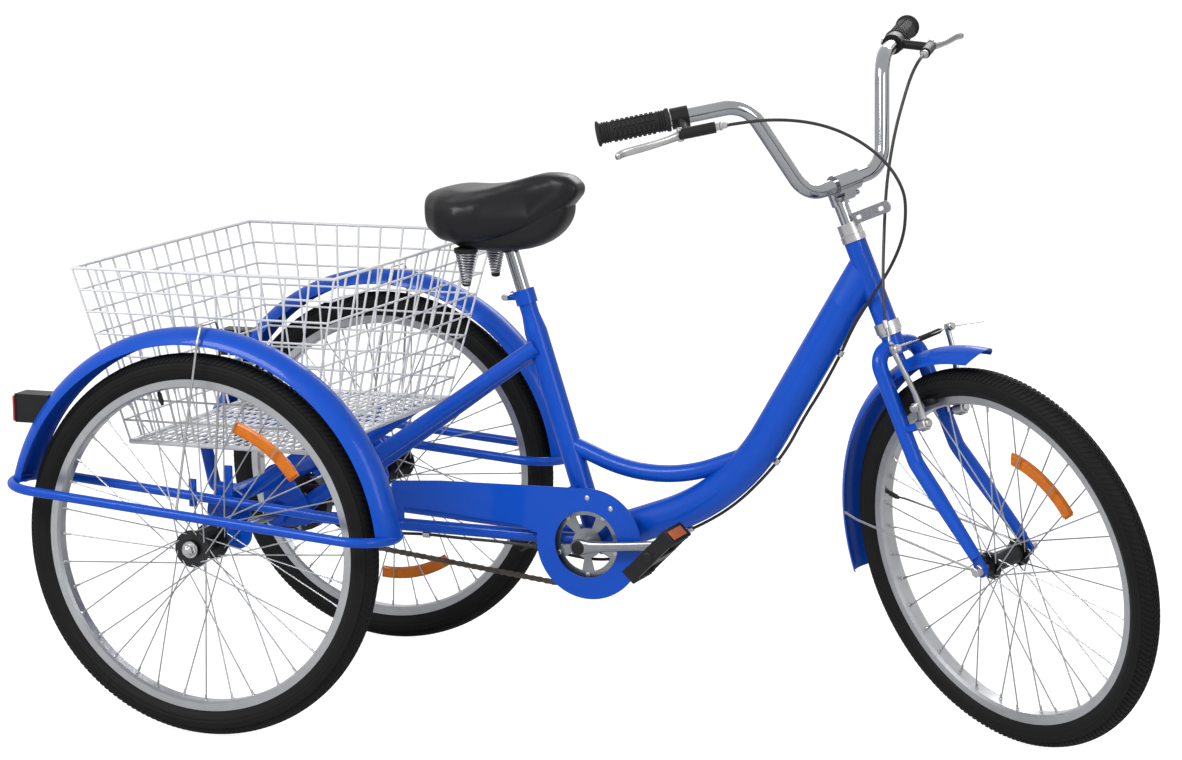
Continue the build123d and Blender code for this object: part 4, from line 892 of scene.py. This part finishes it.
def bracketAt(side, ahead=0, rise=0):
    x, z = drive["bracket"]
    return place(x + ahead, side, z + rise)


def pitchRadius(teeth):
    return drive["pitch"] / 2 / math.sin(math.pi / teeth)


def chainPins():
    big, small = pitchRadius(drive["ringTeeth"]), pitchRadius(drive["sprocketTeeth"])
    front, rear = Vector(drive["bracket"]), Vector((0, axleHeight))
    run = (front - rear).length
    lean = math.atan2(front.y - rear.y, front.x - rear.x)
    spread = math.acos((small - big) / run)
    upperAngle, lowerAngle = lean + spread, lean - spread
    straight = math.sqrt(run * run - (big - small) ** 2)
    bigArc = (upperAngle - lowerAngle) * big
    smallArc = (2 * math.pi - (upperAngle - lowerAngle)) * small
    total = 2 * straight + bigArc + smallArc
    count = 2 * round(total / drive["pitch"] / 2)
    pins = []
    for index in range(count):
        along = index * total / count
        if along < straight:
            way = Vector((math.cos(upperAngle), math.sin(upperAngle)))
            pins.append((rear + way * small).lerp(front + way * big, along / straight))
        elif along < straight + bigArc:
            angle = upperAngle - (along - straight) / big
            pins.append(front + Vector((math.cos(angle), math.sin(angle))) * big)
        elif along < 2 * straight + bigArc:
            way = Vector((math.cos(lowerAngle), math.sin(lowerAngle)))
            pins.append((front + way * big).lerp(rear + way * small, (along - straight - bigArc) / straight))
        else:
            angle = lowerAngle - (along - 2 * straight - bigArc) / small
            pins.append(rear + Vector((math.cos(angle), math.sin(angle))) * small)
    return pins


def makeLinkTree():
    tree, entry = startTree("linksOnPins", {"Link": "Object"})
    source = addNode(tree, "GeometryNodeObjectInfo", {"Object": entry["Link"]}, transform_space="ORIGINAL")
    turnBy = addNode(tree, "GeometryNodeInputNamedAttribute", {"Name": "turn"}, data_type="FLOAT")
    aim = addNode(tree, "ShaderNodeCombineXYZ", {"Y": turnBy.outputs["Attribute"]})
    copies = addNode(tree, "GeometryNodeInstanceOnPoints", {
        "Points": entry["Geometry"], "Instance": source.outputs["Geometry"], "Rotation": aim.outputs[0]})
    return closeTree(tree, entry, copies.outputs[0])


linkTree = makeLinkTree()


def linkMesh(name, offset, thick):
    points, faces = [], []
    half, steps = drive["pitch"] / 2, 7
    for side in (-1, 1):
        outline = []
        for end in (1, -1):
            for step in range(steps):
                angle = math.radians(-75 + 150 * step / (steps - 1))
                reach, rise = drive["linkEnd"] * math.cos(angle), drive["linkEnd"] * math.sin(angle)
                outline.append((end * (half + reach), end * rise))
            outline.append((0, end * drive["linkWaist"]))
        base, size = len(points), len(outline)
        for y in (offset - thick / 2, offset + thick / 2):
            points += [Vector((x, side * y, z)) / 1000 for x, z in outline]
        faces += caps(2, size, base) + bands(2, size, base)
    for x in (-half, half):
        base, sides = len(points), 8
        for y in (-offset - thick / 2 - 0.5, offset + thick / 2 + 0.5):
            points += [Vector((x, 0, 0)) / 1000 + polar(drive["pin"], y, 2 * math.pi * i / sides)
                       for i in range(sides)]
        faces += bands(2, sides, base) + caps(2, sides, base)
    return outward(meshPiece(name, points, faces))


def makeChain():
    pins = chainPins()
    spots = [(a.lerp(b, 0.5), b - a) for a, b in zip(pins, pins[1:] + pins[:1])]
    for first, offset in ((0, 3.1), (1, 2.1)):
        some = spots[first::2]
        middles = [place(spot.x, drive["line"], spot.y) for spot, _ in some]
        piece = meshPiece("chainLinks" + str(first), middles)
        turns = piece.data.attributes.new("turn", "FLOAT", "POINT")
        turns.data.foreach_set("value", [-math.atan2(way.y, way.x) for _, way in some])
        link = linkMesh("linkShape" + str(first), offset, 1.0)
        runTree(piece, linkTree, Link=link, Finish=chainSteel)
        bpy.data.objects.remove(link)
        finished(piece, "frame", smooth=False)
    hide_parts("chain")
    print("chain links", len(pins))


def makeTeeth(name, body, middle, teeth):
    radius = pitchRadius(teeth)
    half = math.pi / teeth
    points = []
    for y in (-1.1, 1.1):
        for r, share in ((radius - 4.5, 0.95), (radius - 2.2, 0.6), (radius + drive["toothDepth"], 0.22)):
            for sign in (-1, 1):
                points.append(polar(r, y, sign * half * share))
    faces = [(0, 1, 3, 2), (2, 3, 5, 4), (6, 7, 9, 8), (8, 9, 11, 10), (4, 5, 11, 10), (0, 2, 8, 6),
             (2, 4, 10, 8), (1, 3, 9, 7), (3, 5, 11, 9), (0, 1, 7, 6)]
    piece = runTree(meshPiece(name, points, faces), ringTree, Count=teeth, Finish=crankSteel)
    outward(piece)
    piece.data.transform(Matrix.Translation(middle))
    finished(piece, body, smooth=False)


makeChain()
makeTeeth("ringTeeth", "crankset", bracketAt(drive["line"]), drive["ringTeeth"])
makeTeeth("sprocketTeeth", "rear_sprocket", place(0, drive["line"], axleHeight), drive["sprocketTeeth"])


def makeCrankBits():
    ringBolts = []
    for index in range(5):
        angle = math.radians(56 + 72 * index)
        spot = bracketAt(-46.5, 50 * math.cos(angle), 50 * math.sin(angle))
        ringBolts.append(([(0, 4.6), (2.5, 4.6), (3, 3)], spot, (0, -1, 0), 12))
    lathe("chainringBolts", ringBolts, zincSteel, "crankset")
    lathe("crankCaps", [([(-4, 11), (0, 11), (1.5, 9.5), (2.2, 4)], bracketAt(side * 84), (0, side, 0), 28)
                        for side in (-1, 1)], blackPlastic, "crankset")
    for name, side in (("pedal_right", -1), ("pedal_left", 1)):
        middle = middleOf(name)
        tilt = Matrix.Translation(middle) @ Matrix.Rotation(-math.radians(45), 4, "Y")
        blocks = ([], [])
        lenses = ([], [])
        for way in (-1, 1):
            for row in range(9):
                y = -34 + row * 8.5
                for x in (39, 45.6):
                    cuboid(*blocks, (way * x - 1.6, y - 2.6, -13.2), (way * x + 1.6, y + 2.6, 13.2))
            cuboid(*lenses, (min(way * 44, way * 48.2), -26, -8), (max(way * 44, way * 48.2), 26, 8))
        for label, shape, finish in ((".tread", blocks, blackPlastic), (".lens", lenses, amberLens)):
            piece = outward(meshPiece(name + label, *shape))
            piece.data.transform(tilt)
            finished(piece, name, finish, smooth=False)
        capFoot = middle + Vector((0, side * 0.04, 0))
        lathe(name + ".cap", [([(-1, 9), (1.5, 9), (2.5, 7)], capFoot, (0, side, 0), 16)], blackPlastic, name)


makeCrankBits()


def makeCrankArms():
    pedalRun = middleOf("pedal_right") - bracketAt(0)
    slope = math.atan2(pedalRun.z, pedalRun.x)
    print("crank slope", round(math.degrees(slope), 1))
    # distance from the bracket, width and thickness of the arm
    outline = [(-13, 12, 10), (-11, 20, 12), (-4, 25, 13), (5, 25, 13), (14, 20, 13), (24, 16.5, 13),
               (45, 15, 12.5), (90, 14, 12), (130, 14.5, 12), (142, 18, 12), (152, 20, 12), (159, 16, 12),
               (162, 9, 9)]
    for side, name in ((-1, "crank_arm_right"), (1, "crank_arm_left")):
        way = Vector((math.cos(slope), 0, math.sin(slope))) * -side
        cross = way.cross(acrossWay)
        middle = bracketAt(side * drive["crankSide"])
        sections = [(middle + way * along / 1000, cross, acrossWay, width, thick)
                    for along, width, thick in outline]
        arm = ribbon(name + ".dressed", sections, crankSteel, "crankset")
        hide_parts(name)


makeCrankArms()
print("drive ready")


# Front brake
brake = dict(foot=(-146, 45, 40), padPlace=28.0, noodleEnd=-18.0, noodle=5.0, wire=1.8)


def armPoint(side, along, forward, out):
    rise, reach, half = brake["foot"]
    along3 = steerLine * along + aheadOfSteer * (reach + forward)
    return headPoint(rise) + along3 / 1000 + Vector((0, side * (half + out) / 1000, 0))


def makeFrontBrake():
    tops = {}
    rise, reach, _ = brake["foot"]
    padSpot = headPoint(rise) + (steerLine * brake["padPlace"] + aheadOfSteer * reach) / 1000
    padWay = (padSpot - place(1197.7, 0, axleHeight)).normalized()
    lengthWay = acrossWay.cross(padWay)
    # distance up the arm, forward and outward, width and thickness
    route = [(-10, 0, 0, 15, 9), (0, 0, 0, 17, 10), (14, 2, 0, 15, 8), (30, 6, 1, 13, 7),
             (48, 11, 4, 11, 6.5), (66, 14, 9, 10, 6), (86, 15, 13, 9.5, 5.5), (106, 15, 16, 9.5, 5.5),
             (121, 15, 18, 11, 5.5), (127, 15, 18.6, 8, 5)]
    for side in (-1, 1):
        centres = [armPoint(side, along, forward, out) for along, forward, out, _, _ in route]
        sections = [(centres[step], runAt(centres, step).cross(acrossWay), acrossWay, width, thick)
                    for step, (_, _, _, width, thick) in enumerate(route)]
        arm = turned(ribbon("brakeArm" + str(side), sections, leverAlloy, "steering"))
        turned(lathe("brakeBolts" + str(side), [
            ([(-12, 8.5), (-9, 9), (8, 9), (9, 8), (9, 6), (13, 6), (14, 4.5)], armPoint(side, 0, 0, 0),
             aheadOfSteer, 20),
            ([(0, 6.5), (6, 6.5), (6.3, 5), (9, 5)], armPoint(side, 121, 21, 18), aheadOfSteer, 12),
            ([(-20, 3), (-8, 3), (-8, 7), (-4, 7), (-3, 5.5), (3, 5.5), (3, 7.5), (7, 7.5), (7.4, 5),
              (12, 5)], padSpot + Vector((0, side * 0.040, 0)), (0, side, 0), 14)], zincSteel, "steering"))
        padParts = []
        for step in range(9):
            share = -1 + step / 4
            bend = (1 - math.cos(share * 0.3)) * 60
            high, wide = (11, 10.5) if abs(share) < 0.9 else (8, 8)
            centre = padSpot + lengthWay * share * 0.026 - padWay * bend / 1000
            padParts.append((centre + Vector((0, side * 0.0245, 0)), padWay, acrossWay, high, wide))
        turned(ribbon("brakePad" + str(side), padParts, blackPlastic, "steering", rounding=0.4))
        tops[side] = armPoint(side, 121, 15, 18)
        if side == 1:
            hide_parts("front_brake")
    start, right, left = headPoint(*cable["noodle"]), tops[-1], tops[1]

    def across(y):
        return Vector((right.x, y / 1000, right.z))

    bow = [start, start.lerp(right, 0.45), start.lerp(right, 0.75) + Vector((0, -0.003, 0)),
           right + Vector((0.0, -0.002, 0.012)), right + Vector((0, 0.005, 0.002)), across(-40),
           across(brake["noodleEnd"])]
    noodle, _ = cordCurve("noodleLine", bow, chrome, brake["noodle"] / 1000)
    finished(turned(cordTube("brakeNoodle", noodle)), "steering", chrome)
    tail = left + (steerLine * -10 + aheadOfSteer * 55) / 1000 + Vector((0, 0.024, 0))
    wireRun = [across(brake["noodleEnd"]), left + aheadOfSteer * 0.006, tail]
    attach(turned(wires("brakeWire", [wireRun], brake["wire"], zincSteel, 6)), "steering")
    folds = [(2 + 4 * ring + extra, radius) for ring in range(11) for extra, radius in ((0, 4.6), (2, 3.5))]
    turned(lathe("brakeBoot", [([(0, 3.4)] + folds + [(48, 2.6)], across(-2), (0, 1, 0), 16)],
                 blackPlastic, "steering"))
    turned(lathe("ferrules", [([(-9, 3.6), (-8, 4.1), (3, 4.1), (4, 3.4)], start, start - right, 14)],
                 zincSteel, "steering"))


makeFrontBrake()
print("brake ready")


# Clips, bolts, lenses and fender stays
trim = dict(lensWidth=52, lensHeight=40, lensSide=0.341, lensRise=500.5, stay=4.0,
            clips=[(911, 0, 588), (812, 0, 428), (676, 0, 300)], stayClip=(246, -50, 275))


def makeClips():
    def nearest(where):
        return min(heldPath, key=lambda point: (point - place(*where)).length)

    items = []
    for where in trim["clips"]:
        spot = nearest(where)
        way = runAt(heldPath, heldPath.index(spot))
        items.append(([(-5, 3.2), (-4.4, 4.6), (4.4, 4.6), (5, 3.2)], spot, way, 14))
    items.append(([(-6, 4), (-5.4, 5.2), (5.4, 5.2), (6, 4)], nearest(trim["stayClip"]), (1, 0, 0), 14))
    lathe("cableClips", items, zincSteel, "frame")


def makeBolts():
    lathe("seatBolts", [([(-19, 4.6), (-18.5, 5.4), (-14.5, 5.4), (-14.5, 3.0), (14.5, 3.0), (14.5, 5.4),
                          (18.5, 5.4), (19, 4.6)], place(374, 0, 656), (0, 1, 0), 12)], zincSteel, "frame")
    lathe("guardScrews", [([(-1, 4.4), (0.6, 4.2), (1.4, 2.4)], place(x, -60, z), (0, -1, 0), 14)
                          for x, z in ((527, 353), (566, 338))], zincSteel, "frame")
    head = [(-1, 7), (3, 7), (3, 5.2), (8, 5.2), (8.6, 4)]
    turned(lathe("stemBolt", [(head, headPoint(207), steerLine, 6)], zincSteel, "steering"))


def makeLenses():
    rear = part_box("rear_reflectors")[0].x + 0.0015
    middle = place(0, 0, trim["lensRise"]).z
    for side in (-1, 1):
        points = []
        for x, inset in ((0, 0), (-2.5, 0), (-4, 2)):
            wide, tall = trim["lensWidth"] / 2 - 3 - inset, trim["lensHeight"] / 2 - inset
            for y, z in ((-1, -1), (1, -1), (1, 1), (-1, 1)):
                points.append(Vector((rear + x / 1000, side * trim["lensSide"] + y * wide / 1000,
                                      middle + z * tall / 1000)))
        lens = outward(meshPiece("rearLens" + str(side), points, caps(3, 4) + bands(3, 4)))
        finished(lens, "frame", redLens, smooth=False)


makeClips()
makeBolts()
makeLenses()


def makeFenderStays():
    runs = [[restTurn @ place(x, side * out, z) for x, out, z in
             ((897, 34, 326), (905, 45, 330), (940, 52, 327), (1060, 56, 315), (1180, 58, 302),
              (1196, 58, 300))]
            for side in (-1, 1)]
    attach(wires("frontFenderStays", runs, trim["stay"], zincSteel), "steering")


makeFenderStays()
print("trim ready")
